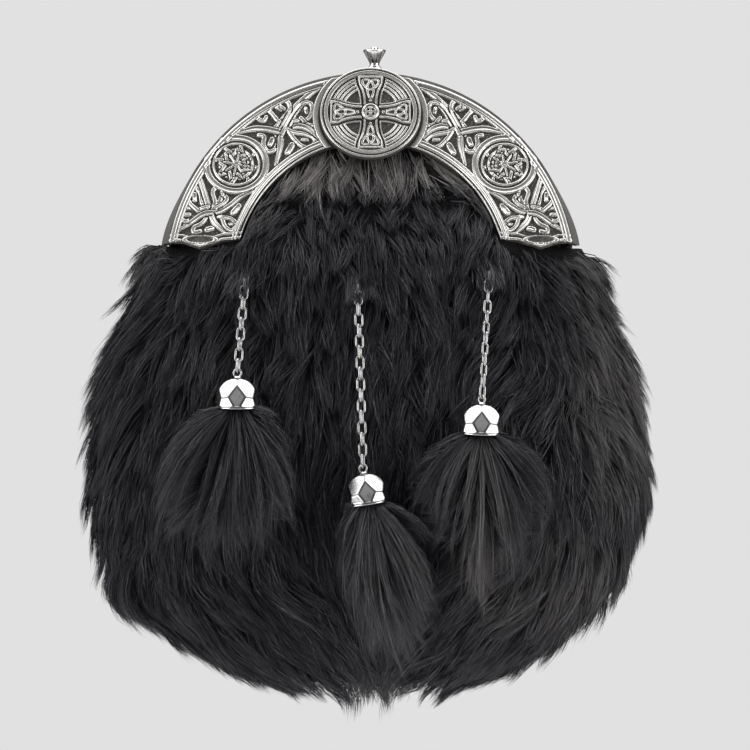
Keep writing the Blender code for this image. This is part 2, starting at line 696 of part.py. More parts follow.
def cap_shell(place):
    """A hollow dome whose front is cut in rows of diamond facets."""
    crown, upper, lower, girdle = CAP_RINGS
    points, faces = [], []
    for ring, count, offset in ((crown, 6, 0), (upper, 6, 0.5), (lower, 6, 0)):
        turns = (2 * math.pi * (i + offset) / count for i in range(count))
        points += [place(ring.x * math.cos(turn), ring.x * math.sin(turn), ring.z) for turn in turns]
    rings = [girdle, Edge(CAP_RADIUS, CAP_LIP + 1.4), Edge(CAP_RADIUS + 0.4, CAP_LIP + 1.0)]
    rings += [Edge(CAP_RADIUS + 0.4, CAP_LIP), *CAP_HOLLOW]
    for row in round_rows(rings, 12, place):
        points += row
    faces.append(tuple(range(6)))
    for i in range(6):
        j, k = (i + 1) % 6, (i - 1) % 6
        faces.append((i, j, 6 + i))
        faces.append((i, 6 + k, 12 + i, 6 + i))
        faces.append((6 + i, 12 + i, 18 + 2 * i + 1, 12 + j))
        faces.append((12 + i, 18 + (2 * i - 1) % 12, 18 + 2 * i))
        faces.append((12 + i, 18 + 2 * i, 18 + 2 * i + 1))
    for row in range(len(rings) - 1):
        near, far = 18 + 12 * row, 30 + 12 * row
        for i in range(12):
            j = (i + 1) % 12
            faces.append((near + i, near + j, far + j, far + i))
    faces.append(tuple(range(18 + 12 * (len(rings) - 1), 18 + 12 * len(rings))))
    return points, faces


def tassel_cap(chain, bail, material):
    place = cap_place(chain, bail)
    obj = add_object(f"tassel_cap_{chain.side}", [cap_shell(place)], material)
    axis = Matrix.Rotation(link_turn(chain, chain.links), 3, UP) @ FORWARD
    combine(obj, "UNION", [torus(bail, axis, BAIL, BAIL_WIRE, 10, 5)])
    return obj


def tassel(chain, bail, material):
    """A fur tassel: a plug in the cap, then a bush of locks, flatter behind where it lies on the pelt."""
    place = cap_place(chain, bail)
    rows = round_rows(PLUG, TUFT_COLUMNS, place)
    lip = place(0, 0, CAP_LIP)
    tufts = TUFTS[chain.side]
    for index, tuft in enumerate((*tufts, tufts[-1])):
        last = index >= len(tufts) - 1
        shrink = 0.55 if index == len(tufts) else 1.0
        row = []
        for column in range(TUFT_COLUMNS):
            turn = 2 * math.pi * column / TUFT_COLUMNS
            ridge = (column + index // 2) % 2 == 0
            swell = shrink * (1.0 if ridge else TUFT_VALLEY)
            depth = min(tuft.half_width * TUFT_FRONT, TUFT_DEEPEST) if math.sin(turn) < 0 else TUFT_BACK
            depth = min(depth, tuft.half_width)
            drop = tuft.drop + (TUFT_TIP if ridge and last and shrink == 1.0 else 0)
            drop -= 1.5 if shrink < 1.0 else 0
            offset = Vector((tuft.half_width * math.cos(turn), depth * math.sin(turn), 0)) * swell
            row.append(lip + Vector((tuft.shift, 0, -drop)) + offset)
        rows.append(row)
    return add_object(f"tassel_{chain.side}", [skin(rows)], material)


def build():
    clear_scene()
    silver = finish("antique_silver", (0.55, 0.54, 0.52), 1.0, 0.3)
    bright = finish("bright_plate", (0.8, 0.8, 0.8), 1.0, 0.12)
    leather = finish("black_leather", (0.03, 0.028, 0.027), 0.0, 0.5)
    fur = finish("black_fur", (0.02, 0.02, 0.023), 0.0, 0.7)
    cantle(silver)
    cross_roundel(silver)
    finial(bright)
    pouch = pouch_body(leather)
    back_panel(leather)
    mouth_flap(leather)
    belt_loop("left", -LOOP_X, leather)
    belt_loop("right", LOOP_X, leather)
    lines = {chain.side: chain_line(chain) for chain in CHAINS}
    ways = []
    for chain in CHAINS:
        line = lines[chain.side]
        front, rear = stud_shank(line[0])
        ways.append(rod(front + FORWARD * 20, rear, SHANK + 0.5, 8))
        chain_stud(chain, line[0], bright)
        chain_links(chain, line, bright)
        tassel_cap(chain, line[-1], bright)
        tassel(chain, line[-1], fur)
    combine(pouch, "DIFFERENCE", ways, solver="MANIFOLD")
    fur_pelt(fur, ways)


build()
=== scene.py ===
"""Looks of a full-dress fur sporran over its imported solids: cast relief, plating, leather and hair.

Metres in Blender, +Z up, the front towards -Y. Sizes in the tables below are millimetres, and MM turns
them into metres. Left and right are the viewer's, looking at the front.
"""

from __future__ import annotations

import logging
import math
from dataclasses import dataclass
from enum import Enum

import bpy
import numpy as np
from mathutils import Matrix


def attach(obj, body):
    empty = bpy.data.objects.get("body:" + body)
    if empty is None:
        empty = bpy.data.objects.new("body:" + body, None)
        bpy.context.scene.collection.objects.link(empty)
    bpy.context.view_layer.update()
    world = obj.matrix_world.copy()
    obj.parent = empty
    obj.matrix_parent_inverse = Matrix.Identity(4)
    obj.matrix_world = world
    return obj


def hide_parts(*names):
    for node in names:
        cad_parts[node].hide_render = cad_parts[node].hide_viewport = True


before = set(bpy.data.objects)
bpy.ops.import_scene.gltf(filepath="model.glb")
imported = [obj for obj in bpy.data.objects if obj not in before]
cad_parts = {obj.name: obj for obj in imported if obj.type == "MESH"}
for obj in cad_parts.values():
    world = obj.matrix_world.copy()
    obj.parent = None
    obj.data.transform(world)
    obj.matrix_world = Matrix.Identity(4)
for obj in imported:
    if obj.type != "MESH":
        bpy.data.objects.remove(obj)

LOG = logging.getLogger("sporran")
MM = 0.001
BODY = "root"
LEAN = math.radians(24)  # how far the cantle's face leans back
COS_LEAN, SIN_LEAN, TAN_LEAN = math.cos(LEAN), math.sin(LEAN), math.tan(LEAN)
NORMAL = np.array((0.0, -COS_LEAN, SIN_LEAN))
UPHILL = np.array((0.0, SIN_LEAN, COS_LEAN))
SIDEWAYS, BACKWARD, UP = np.eye(3)

Material, Socket = bpy.types.Material, bpy.types.NodeSocket
Array, Rng = np.ndarray, np.random.Generator
Two = tuple[Array, Array]
Mesh = Two  # points and quads
Spot = tuple[float, float, float]
Pairs = tuple[tuple[float, float], ...]


class Slot(Enum):
    """Material slots of the pieces."""

    SILVER = "antique_silver"
    BRIGHT = "bright_plate"
    LEATHER = "black_leather"
    FUR = "black_fur"


@dataclass(frozen=True)
class Arc:
    """A circle about the middle line, seen from the front."""

    z: float
    radius: float

    @property
    def start(self) -> float:
        """The angle at which the arc meets the height of the cantle's ends."""
        return math.asin((END_Z - self.z) / self.radius)

    def at(self, turns: Array) -> Two:
        """The arc's x and z at angles."""
        return self.radius * np.cos(turns), self.z + self.radius * np.sin(turns)

    def reach(self, x: Array, z: Array) -> Array:
        """How far points lie outside the arc, negative inside."""
        return np.hypot(x, z - self.z) - self.radius

    def outward(self, x: Array, z: Array) -> Array:
        """Level directions away from the arc's centre, at points seen from the front."""
        return unit(stacked(x, 0.0, z - self.z))


FACE_Y, FACE_Z = -38.0, -16.0  # a spot of the cantle's leaning face
FRONT_ARC, REAR_ARC, INNER_ARC = Arc(-26.65, 71.3), Arc(-27.5, 73.7), Arc(-25.5, 46.5)
SKIN_ARC = Arc(-26.65, 69.4)  # the fur's edge behind the cantle
END_Z = -15.0  # the height of the cantle's two ends
BACK = 2.8  # how far in front of the origin the pouch's rear edge lies
ROUNDEL_Z, ROUNDEL_RADIUS = 29.9, 17.8


def smooth(edge: float, far: float, value: Array) -> Array:
    """An eased step from 0 at edge to 1 at far.

    Args:
        edge: Where the step starts.
        far: Where it ends.
        value: What is stepped.

    Returns:
        Shares from 0 to 1.
    """
    share = np.clip((value - edge) / (far - edge), 0.0, 1.0)
    return share * share * (3 - 2 * share)


def unit(vectors: Array) -> Array:
    """Vectors brought to length one along the last axis.

    Args:
        vectors: Any array whose last axis is x, y, z.

    Returns:
        The same array, normalised.
    """
    return vectors / np.maximum(np.linalg.norm(vectors, axis=-1, keepdims=True), 1e-9)


def stacked(*parts: Array | float) -> Array:
    """Coordinates brought to one shape, and put together on a last axis."""
    return np.stack(np.broadcast_arrays(*parts), axis=-1)


def circle(count: int) -> Array:
    """The angles of count even steps round a circle."""
    return np.linspace(0, math.tau, count, endpoint=False)


def face_y(z: Array) -> Array:
    """The y of the cantle's leaning face at a height.

    Args:
        z: Heights.

    Returns:
        Depths, negative towards the front.
    """
    return FACE_Y + (z - FACE_Z) * TAN_LEAN


def on_face(x: Array, z: Array, lift: Array) -> Array:
    """Points of the cantle's face, raised along its normal.

    Args:
        x: Distances from the middle line, seen from the front.
        z: Heights, seen from the front.
        lift: Heights above the face.

    Returns:
        Points, x, y and z on the last axis.
    """
    return stacked(x, face_y(z), z) + stacked(lift) * NORMAL


# ---- meshes ----


def placed(name: str, data: bpy.types.ID) -> bpy.types.Object:
    """A new object in the scene.

    Args:
        name: Its name.
        data: Its mesh, camera or light.

    Returns:
        The object.
    """
    obj = bpy.data.objects.new(name, data)
    bpy.context.scene.collection.objects.link(obj)
    return obj


@dataclass
class Piece:
    """One visible piece of the object, made from arrays in millimetres."""

    name: str
    points: Array
    faces: list[Array]
    slot: Slot
    replaces: tuple[str, ...] = ()

    def build(self, material: Material, **traits: Array) -> None:
        """Makes the mesh object, and lets it ride on the object's body.

        Args:
            material: The piece's finish.
            traits: Named values, one for each point, that the finish reads.
        """
        points = self.points.reshape(-1, 3) * MM
        mesh = bpy.data.meshes.new(self.name)
        mesh.vertices.add(len(points))
        mesh.vertices.foreach_set("co", points.astype(np.float32).ravel())
        corners = np.concatenate([part.ravel() for part in self.faces]).astype(np.int32)
        sizes = np.concatenate([np.full(len(part), part.shape[1]) for part in self.faces])
        mesh.loops.add(len(corners))
        mesh.loops.foreach_set("vertex_index", corners)
        mesh.polygons.add(len(sizes))
        mesh.polygons.foreach_set("loop_start", np.concatenate([[0], np.cumsum(sizes)[:-1]]).astype(np.int32))
        mesh.polygons.foreach_set("use_smooth", np.full(len(sizes), True))
        mesh.update(calc_edges=True)
        for trait, values in traits.items():
            layer = mesh.attributes.new(trait, "FLOAT", "POINT")
            layer.data.foreach_set("value", np.asarray(values, np.float32).ravel())
        mesh.materials.append(material)
        obj = placed(self.name, mesh)
        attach(obj, BODY)
        if self.replaces:
            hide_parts(*self.replaces)
        LOG.info("%s: %d points, %d faces", self.name, len(points), len(sizes))


def sheet_faces(rows: int, columns: int, closed: bool = False) -> Array:
    """Quads of a grid of points stored row by row.

    Args:
        rows: Number of rows.
        columns: Points in a row.
        closed: Whether each row is a loop.

    Returns:
        Corner indices, four for each face.
    """
    index = np.arange(rows * columns).reshape(rows, columns)
    if closed:
        index = np.concatenate([index, index[:, :1]], axis=1)
    return np.stack([index[:-1, :-1], index[:-1, 1:], index[1:, 1:], index[1:, :-1]], axis=-1).reshape(-1, 4)


def tube(path: Array, radius: float, sides: int, ring: bool, flat: Array) -> Mesh:
    """A round tube along a path.

    Args:
        path: Points of the centre line.
        radius: The tube's radius.
        sides: Points round it.
        ring: Whether the path joins up.
        flat: A direction never along the path, from which the sides are counted.

    Returns:
        Points and quads. An open tube ends in a small dome.
    """
    ahead = unit(np.roll(path, -1, 0) - np.roll(path, 1, 0) if ring else np.gradient(path, axis=0))
    radii = np.full(len(path), radius)
    if not ring:
        dome = np.array([0.0, 0.62, 0.9])  # the end's rings, as shares of the radius
        path = np.concatenate([path[:1] + ahead[:1] * -radius * (1 - dome[:, None]) ** 1.2, path[1:-1],
                               path[-1:] + ahead[-1:] * radius * (1 - dome[::-1, None]) ** 1.2])
        ahead = np.concatenate([ahead[[0, 0, 0]], ahead[1:-1], ahead[[-1, -1, -1]]])
        radii = np.concatenate([radius * dome, np.full(len(path) - 6, radius), radius * dome[::-1]])
    side = unit(np.cross(ahead, flat))
    up = np.cross(side, ahead)
    turns = circle(sides)[None, :, None]
    rows = path[:, None] + radii[:, None, None] * (side[:, None] * np.cos(turns) + up[:, None] * np.sin(turns))
    loops = len(rows) + (1 if ring else 0)
    return rows.reshape(-1, 3), sheet_faces(loops, sides, closed=True) % (len(rows) * sides)


def joined(parts: list[Mesh]) -> Mesh:
    """Several meshes as one.

    Args:
        parts: Points and quads of each.

    Returns:
        All points and all quads.
    """
    points, faces, start = [], [], 0
    for part_points, part_faces in parts:
        points.append(part_points)
        faces.append(part_faces + start)
        start += len(part_points)
    return np.concatenate(points), np.concatenate(faces)


def lathe(profile: Array, steps: int, centre: Array, axis: Array) -> Mesh:
    """A turned form.

    Args:
        profile: Pairs of radius and height.
        steps: Points round the axis.
        centre: Where height is zero.
        axis: The direction of height.

    Returns:
        Points and quads.
    """
    across = unit(np.cross(axis, SIDEWAYS))
    along = np.cross(axis, across)
    turns = circle(steps)
    out = np.cos(turns)[:, None] * across + np.sin(turns)[:, None] * along
    rows = centre + profile[:, 0, None, None] * out[None] + profile[:, 1, None, None] * axis
    return rows.reshape(-1, 3), sheet_faces(len(profile), steps, closed=True)


def rounded(profile: Pairs) -> Array:
    """A profile with its corners cut twice, so that it reads as turned or cast.

    Args:
        profile: Pairs of radius and height.

    Returns:
        The softer profile.
    """
    line = np.array(profile)
    for _ in range(2):
        near, far = line[:-1] * 0.8 + line[1:] * 0.2, line[:-1] * 0.2 + line[1:] * 0.8
        middle = np.stack([near, far], axis=1).reshape(-1, 2)
        line = np.concatenate([line[:1], middle, line[-1:]])
    return line


# ---- finishes ----


class Nodes:
    """Short calls for one node tree."""

    def __init__(self, tree: bpy.types.NodeTree) -> None:
        """Takes the tree."""
        self.tree = tree

    def node(self, kind: str, inputs: dict | None = None, **settings: object) -> bpy.types.Node:
        """Adds a node.

        Args:
            kind: Its type name, without ShaderNode.
            inputs: Values or sockets by input name or number.
            settings: The node's own properties.

        Returns:
            The node.
        """
        node = self.tree.nodes.new(f"ShaderNode{kind}")
        for key, value in settings.items():
            setattr(node, key, value)
        for key, value in (inputs or {}).items():
            self.feed(node.inputs[key], value)
        return node

    def feed(self, socket: Socket, value: object) -> None:
        """Links or sets one input.

        Args:
            socket: The input.
            value: A socket, a number or a tuple. A colour may come without its alpha.
        """
        if isinstance(value, Socket):
            self.tree.links.new(value, socket)
        elif socket.type == "RGBA" and len(value) == 3:
            socket.default_value = (*value, 1.0)
        else:
            socket.default_value = value

    def ranged(self, value: object, low: float, high: float, to: tuple[float, float]) -> Socket:
        """A value brought from low...high to another range, and held inside it."""
        inputs = {"Value": value, "From Min": low, "From Max": high, "To Min": to[0], "To Max": to[1]}
        return self.node("MapRange", inputs).outputs["Result"]


class Shade(Nodes):
    """Short calls for one material."""

    def __init__(self, name: str) -> None:
        """Makes the material, and the place that its patterns are read at.

        Args:
            name: The material's name.
        """
        self.material = bpy.data.materials.new(name)
        self.material.use_nodes = True
        super().__init__(self.material.node_tree)
        self.shader = self.tree.nodes["Principled BSDF"]
        self.place = self.node("TexCoord").outputs["Object"]

    def noise(self, size_mm: float, detail: float = 3.0, stretch: tuple = (1, 1, 1)) -> Socket:
        """Noise.

        Args:
            size_mm: About how wide its features are.
            detail: How many finer layers it has.
            stretch: How many times longer its features are along x, y and z.

        Returns:
            Shares from 0 to 1.
        """
        scale = tuple(1.0 / (size_mm * MM * part) for part in stretch)
        place = self.node("Mapping", {"Vector": self.place, "Scale": scale}).outputs[0]
        return self.node("TexNoise", {"Vector": place, "Scale": 1.0, "Detail": detail}).outputs["Fac"]

    def cells(self, size_mm: float, feature: str = "F1") -> Socket:
        """Distances in a pattern of cells about size_mm across."""
        inputs = {"Vector": self.place, "Scale": 1.0 / (size_mm * MM)}
        return self.node("TexVoronoi", inputs, feature=feature).outputs["Distance"]

    def trait(self, name: str) -> Socket:
        """A named value of the mesh."""
        return self.node("Attribute", attribute_name=name).outputs["Fac"]

    def sum(self, a: object, b: object, operation: str = "ADD") -> Socket:
        """Two values added, or joined by another operation."""
        return self.node("Math", {0: a, 1: b}, operation=operation).outputs[0]

    def times(self, a: object, b: object) -> Socket:
        """Two values multiplied."""
        return self.sum(a, b, "MULTIPLY")

    def ramp(self, value: object, stops: tuple) -> Socket:
        """A colour read from a band.

        Args:
            value: Where it is read.
            stops: The band's stops, each its position, red, green and blue.

        Returns:
            The colour.
        """
        node = self.node("ValToRGB", {"Fac": value})
        band = node.color_ramp
        while len(band.elements) < len(stops):
            band.elements.new(0.5)
        for element, (position, *colour) in zip(band.elements, stops):
            element.position = position
            element.color = (*colour, 1.0)
        return node.outputs["Color"]

    def mix(self, share: object, a: object, b: object) -> Socket:
        """Two colours mixed."""
        return self.node("Mix", {0: share, 6: a, 7: b}, data_type="RGBA").outputs[2]

    def bump(self, height: object, depth_mm: float, strength: float = 1.0) -> Socket:
        """A bump that is depth_mm high."""
        inputs = {"Height": height, "Distance": depth_mm * MM, "Strength": strength}
        return self.node("Bump", inputs).outputs["Normal"]

    def surface(self, **inputs: object) -> Material:
        """Feeds the shader.

        Args:
            inputs: Values or sockets by input name, with _ for each space.

        Returns:
            The material.
        """
        for key, value in inputs.items():
            self.feed(self.shader.inputs[key.replace("_", " ")], value)
        return self.material


@dataclass(frozen=True)
class AntiqueSilver:
    """Cast metal, polished on its raised lines and darkened in its recesses."""

    dark: tuple = (0.036, 0.033, 0.031)
    dull: tuple = (0.20, 0.19, 0.175)
    half_bright: tuple = (0.39, 0.38, 0.365)
    bright: tuple = (0.65, 0.64, 0.62)

    def make(self) -> Material:
        """Builds the material, which reads the trait polish.

        Returns:
            The finish.
        """
        shade = Shade("antique_silver_cast")
        grain = shade.noise(0.5, 4.0)
        worn = shade.sum(shade.trait("polish"), shade.ranged(grain, 0.3, 0.7, (-0.13, 0.13)))
        worn = shade.sum(worn, shade.ranged(shade.noise(6.0, 2.0), 0.35, 0.65, (-0.07, 0.05)))
        stipple = shade.ranged(shade.cells(0.75), 0.12, 0.45, (0.42, 0.0))
        ground = shade.ranged(shade.trait("polish"), 0.0, 0.12, (1.0, 0.0))
        worn = shade.sum(worn, shade.times(stipple, ground))
        stops = ((0.1, *self.dark), (0.38, *self.dull), (0.6, *self.half_bright), (0.94, *self.bright))
        rough = shade.sum(shade.ranged(worn, 0.2, 0.85, (0.52, 0.2)), shade.ranged(grain, 0.3, 0.7, (-0.04, 0.08)))
        scratch = shade.noise(0.35, 2.0, (1, 1, 9))
        fine = shade.bump(shade.sum(grain, scratch), 0.035, 0.55)
        return shade.surface(
            Base_Color=shade.ramp(worn, stops), Metallic=shade.ranged(worn, 0.15, 0.6, (0.35, 1.0)),
            Roughness=rough, Normal=fine,
        )


@dataclass(frozen=True)
class BrightPlate:
    """Bright plating with faint wear, and painted shade: black where the trait seam is high."""

    name: str = "bright_plate_worn"
    colour: tuple = (0.80, 0.80, 0.80)
    dull: tuple = (0.55, 0.54, 0.53)
    roughness: float = 0.1

    def make(self) -> Material:
        """Builds the material.

        Returns:
            The finish.
        """
        shade = Shade(self.name)
        wear, fine = shade.noise(2.2, 4.0), shade.noise(0.25, 3.0)
        tint = shade.ramp(wear, ((0.25, *self.dull), (0.5, *self.colour)))
        # painted shade: the trait seam darkens the colour to black
        tint = shade.mix(shade.trait("seam"), tint, (0.004, 0.004, 0.004))
        rough = shade.sum(shade.ranged(wear, 0.3, 0.7, (0.02, 0.12)), self.roughness)
        return shade.surface(
            Base_Color=tint, Metallic=1.0, Roughness=rough, Normal=shade.bump(fine, 0.012, 0.5)
        )


@dataclass(frozen=True)
class BlackLeather:
    """Black leather with a pebbled grain, creases and rubbed high spots."""

    name: str = "black_leather_grain"
    grain_mm: float = 1.15

    def make(self) -> Material:
        """Builds the material.

        Returns:
            The finish.
        """
        shade = Shade(self.name)
        cells = shade.cells(self.grain_mm, "DISTANCE_TO_EDGE")
        pebble = shade.ranged(cells, 0.0, 0.28, (0.0, 1.0))
        crease = shade.noise(7.0, 5.0, (1, 1, 2.2))
        rubbed = shade.ranged(shade.noise(26.0, 3.0), 0.45, 0.7, (0.0, 1.0))
        colour = shade.ramp(pebble, ((0.0, 0.009, 0.0085, 0.008), (1.0, 0.024, 0.022, 0.021)))
        colour = shade.mix(shade.times(rubbed, 0.35), colour, (0.05, 0.045, 0.041))
        height = shade.sum(pebble, shade.times(crease, 1.6))
        rough = shade.sum(shade.ranged(pebble, 0.0, 1.0, (0.6, 0.42)), shade.times(rubbed, -0.08))
        return shade.surface(
            Base_Color=colour, Roughness=rough, Normal=shade.bump(height, 0.16, 0.7), Specular_IOR_Level=0.45
        )


@dataclass(frozen=True)
class WaxedThread:
    """Thick waxed thread with a twist."""

    def make(self) -> Material:
        """Builds the material.

        Returns:
            The finish.
        """
        shade = Shade("waxed_thread")
        twist = shade.node("TexWave", {"Vector": shade.place, "Scale": 900.0, "Distortion": 1.0})
        colour = shade.ramp(twist.outputs["Fac"], ((0.2, 0.02, 0.019, 0.018), (0.8, 0.065, 0.06, 0.055)))
        return shade.surface(Base_Color=colour, Roughness=0.5, Normal=shade.bump(twist.outputs["Fac"], 0.08, 0.6))


@dataclass(frozen=True)
class Hair:
    """Dark glossy hair: blue-black to brown-grey by the trait tone, which is partly real brown and partly painted
    highlight, and lighter by a second trait, which is painted highlight.
    """

    name: str = "black_fur_hair"
    black: tuple = (0.0085, 0.0080, 0.0122)
    brown: tuple = (0.205, 0.192, 0.183)
    # the colour that the painted highlight mixes in
    shine: tuple = (0.136, 0.132, 0.154)

    def make(self) -> Material:
        """Builds the material.

        Returns:
            The finish.
        """
        shade = Shade(self.name)
        patch = shade.ranged(shade.noise(3.0, 3.0, (1, 1, 4)), 0.3, 0.7, (0.7, 1.3))
        # noise that breaks the painted highlight into short streaks along the hair
        sheen_streaks = shade.ranged(shade.noise(0.8, 2.0, (1, 1, 3)), 0.36, 0.68, (0.1, 2.1))
        tone = shade.times(shade.trait("tone"), patch)
        colour = shade.mix(tone, self.black, self.brown)
        # the painted highlight, in patches and short streaks
        light = shade.times(shade.times(shade.trait("painted_sheen"), patch), sheen_streaks)
        colour = shade.mix(light, colour, self.shine)
        fine = shade.noise(0.18, 2.0, (1, 1, 12))
        return shade.surface(
            Base_Color=colour, Roughness=shade.ranged(fine, 0.3, 0.7, (0.34, 0.55)), Specular_IOR_Level=0.26,
            Normal=shade.bump(fine, 0.03, 0.4),
        )


@dataclass(frozen=True)
class Underfur:
    """The dense dark pile between the long hairs."""

    def make(self) -> Material:
        """Builds the material.

        Returns:
            The finish.
        """
        shade = Shade("black_fur_pile")
        pile = shade.noise(0.5, 4.0, (1, 1, 7))
        colour = shade.ramp(pile, ((0.3, 0.0035, 0.0035, 0.004), (0.75, 0.014, 0.0135, 0.015)))
        fine = shade.bump(pile, 0.9)
        return shade.surface(Base_Color=colour, Roughness=0.85, Normal=fine, Specular_IOR_Level=0.15)


@dataclass(frozen=True)
class StudioFloor:
    """Pale matt board that fades out towards its edge."""

    colour: tuple = (0.79, 0.79, 0.79)
    fade_from: float = 0.62
    fade_to: float = 0.98

    def make(self) -> Material:
        """Builds the material.

        Returns:
            The finish.
        """
        shade = Shade("studio_floor")
        shade.surface(Base_Color=self.colour, Roughness=0.9, Normal=shade.bump(shade.noise(3.0), 0.05, 0.3))
        reach = shade.node("VectorMath", {0: shade.place, 1: (1.0, 1.0, 0.0)}, operation="MULTIPLY")
        reach = shade.node("VectorMath", {0: reach.outputs[0]}, operation="LENGTH").outputs["Value"]
        share = shade.ranged(reach, self.fade_from, self.fade_to, (0.0, 1.0))
        clear = shade.node("BsdfTransparent").outputs[0]
        mixed = shade.node("MixShader", {0: share, 1: shade.shader.outputs[0], 2: clear})
        output = shade.tree.nodes["Material Output"]
        shade.feed(output.inputs["Surface"], mixed.outputs[0])
        return shade.material


# ---- cast relief ----


@dataclass(frozen=True)
class Ridges:
    """A raised profile as heights at distances, with how polished each is."""

    rows: tuple[Spot, ...]

    def read(self, distance: Array) -> Two:
        """Reads the profile.

        Args:
            distance: Distances across the border.

        Returns:
            Heights and polish.
        """
        table = np.array(self.rows)
        return tuple(np.interp(distance, table[:, 0], table[:, column]) for column in (1, 2))


@dataclass(frozen=True)
class Band:
    """One strand of interlace in the cantle's plane.

    It tapers towards its ends by the share taper. It passes over and under others weave times, from
    phase on. A double strand has a groove along it.
    """

    path: Array
    half: float
    taper: float = 0.0
    weave: float = 1.0
    phase: float = 0.0
    double: bool = True


def oval(x: float, z: float, wide: float, high: float, steps: int = 28) -> Array:
    """A closed oval path.

    Args:
        x: Its centre.
        z: Its centre's height.
        wide: Half its width.
        high: Half its height.
        steps: Points round it.

    Returns:
        Points, the last the same as the first.
    """
    turns = np.linspace(0, math.tau, steps + 1)
    return stacked(x + wide * np.cos(turns), z + high * np.sin(turns))


def straight(start: Array, end: Array, steps: int = 18) -> Array:
    """A straight path from start to end."""
    return start + (end - start) * np.linspace(0, 1, steps + 1)[:, None]


def through(spots: Pairs, steps: int = 7) -> Array:
    """A smooth path through spots.

    Args:
        spots: What it passes.
        steps: Its points from one spot to the next.

    Returns:
        Points, the last on the last spot.
    """
    spots = np.array(spots)
    row = np.concatenate([2 * spots[:1] - spots[1:2], spots, 2 * spots[-1:] - spots[-2:-1]])
    share = np.linspace(0, 1, steps, endpoint=False)[:, None]
    parts = []
    for a, b, c, d in zip(row, row[1:], row[2:], row[3:]):
        bend = (2 * a - 5 * b + 4 * c - d) * share + (3 * b - a - 3 * c + d) * share**2
        parts.append(b + 0.5 * share * (c - a + bend))
    return np.concatenate([*parts, spots[-1:]])


def nearest(points: Array, path: Array) -> Two:
    """Distances from points to a path, and how far along it the nearest spot lies.

    Args:
        points: Points in the plane.
        path: The path's points.

    Returns:
        Distances, and shares of the path's length.
    """
    best = np.full(len(points), 1e9)
    share = np.zeros(len(points))
    lengths = np.linalg.norm(np.diff(path, axis=0), axis=1)
    starts = np.concatenate([[0], np.cumsum(lengths)])
    for i, length in enumerate(lengths):
        run = path[i + 1] - path[i]
        along = np.clip(((points - path[i]) @ run) / max(length * length, 1e-9), 0, 1)
        gap = np.linalg.norm(points - path[i] - along[:, None] * run, axis=1)
        closer = gap < best
        best[closer] = gap[closer]
        share[closer] = (starts[i] + along[closer] * length) / starts[-1]
    return best, share


class Relief:
    """Heights and polish over a field of points, built up strand by strand."""

    MOAT = 0.4  # the dark ground kept clear beside a strand
    UNLAID = -9.0  # the level of a spot that no strand has crossed
    LIFT = {True: 0.45, False: 0.0}  # how far a double and a single strand pass over others
    GROOVE = {True: 0.42, False: 0.2}  # how deep the line along each is

    def __init__(self, x: Array, z: Array, ground: float = 0.0) -> None:
        """Takes the field's points.

        Args:
            x: Their distances across, seen from the front.
            z: Their heights, seen from the front.
            ground: The height of the field's ground.
        """
        self.shape = x.shape
        self.points = stacked(x.ravel(), z.ravel() / COS_LEAN)
        self.height = np.full(len(self.points), ground)
        self.polish = np.zeros(len(self.points))
        self.level = np.full(len(self.points), self.UNLAID)

    def clear(self, distance: Array, reach: float, free: float) -> None:
        """Sinks a round field to the ground, and frees its middle for new strands.

        Args:
            distance: Each point's distance from the field's centre.
            reach: The field's radius.
            free: The radius inside which strands may be laid again.
        """
        distance = distance.ravel()
        self.height[distance < reach] = 0.0
        self.polish[distance < reach] = 0.0
        self.level[distance < free] = self.UNLAID

    def weave(self, bands: list[Band], top: float, base: float = 0.0) -> None:
        """Lays interlaced bands, the higher of two hiding the lower.

        Args:
            bands: The strands, in the plane seen from the front.
            top: Height of their crests.
            base: Height of the ground beside them.
        """
        for band in bands:
            path = band.path / np.array((1.0, COS_LEAN))
            low, high = path.min(0) - band.half - 1, path.max(0) + band.half + 1
            near = np.flatnonzero(((self.points > low) & (self.points < high)).all(1))
            distance, share = nearest(self.points[near], path)
            half = band.half * (1 - band.taper * smooth(0.55, 1.0, np.abs(share * 2 - 1)))
            level = np.sin(math.tau * band.weave * share + band.phase) + self.LIFT[band.double]
            wins = (distance < half + self.MOAT) & (level > self.level[near])
            spots = near[wins]
            across = (distance / half)[wins]
            groove = self.GROOVE[band.double]
            crest = 1 - groove * np.exp(-((across / 0.34) ** 2)) - smooth(0.74, 1.0, across)
            shine = 1 - 1.15 * groove * np.exp(-((across / 0.4) ** 2)) - smooth(0.86, 1.06, across)
            self.level[spots] = level[wins]
            self.height[spots] = base + (top - base + 0.12 * level[wins]) * np.clip(crest, 0, 1)
            self.polish[spots] = np.clip(shine, 0, 1)

    def border(
        self, distance: Array, ridges: Ridges, where: Array | None = None, cover: bool = False
    ) -> None:
        """Raises a border.

        Args:
            distance: Each point's distance across the border.
            ridges: Its profile.
            where: The points that it may reach.
            cover: Whether it hides what it crosses.
        """
        height, polish = ridges.read(distance.ravel())
        reach = (distance.ravel() > ridges.rows[0][0]) & (distance.ravel() < ridges.rows[-1][0])
        if where is not None:
            reach &= where.ravel()
        wins = reach if cover else reach & (height > self.height)
        self.height[wins] = height[wins]
        self.polish[wins] = polish[wins]

    def result(self) -> Two:
        """Heights and polish in the field's own shape."""
        return self.height.reshape(self.shape), self.polish.reshape(self.shape)


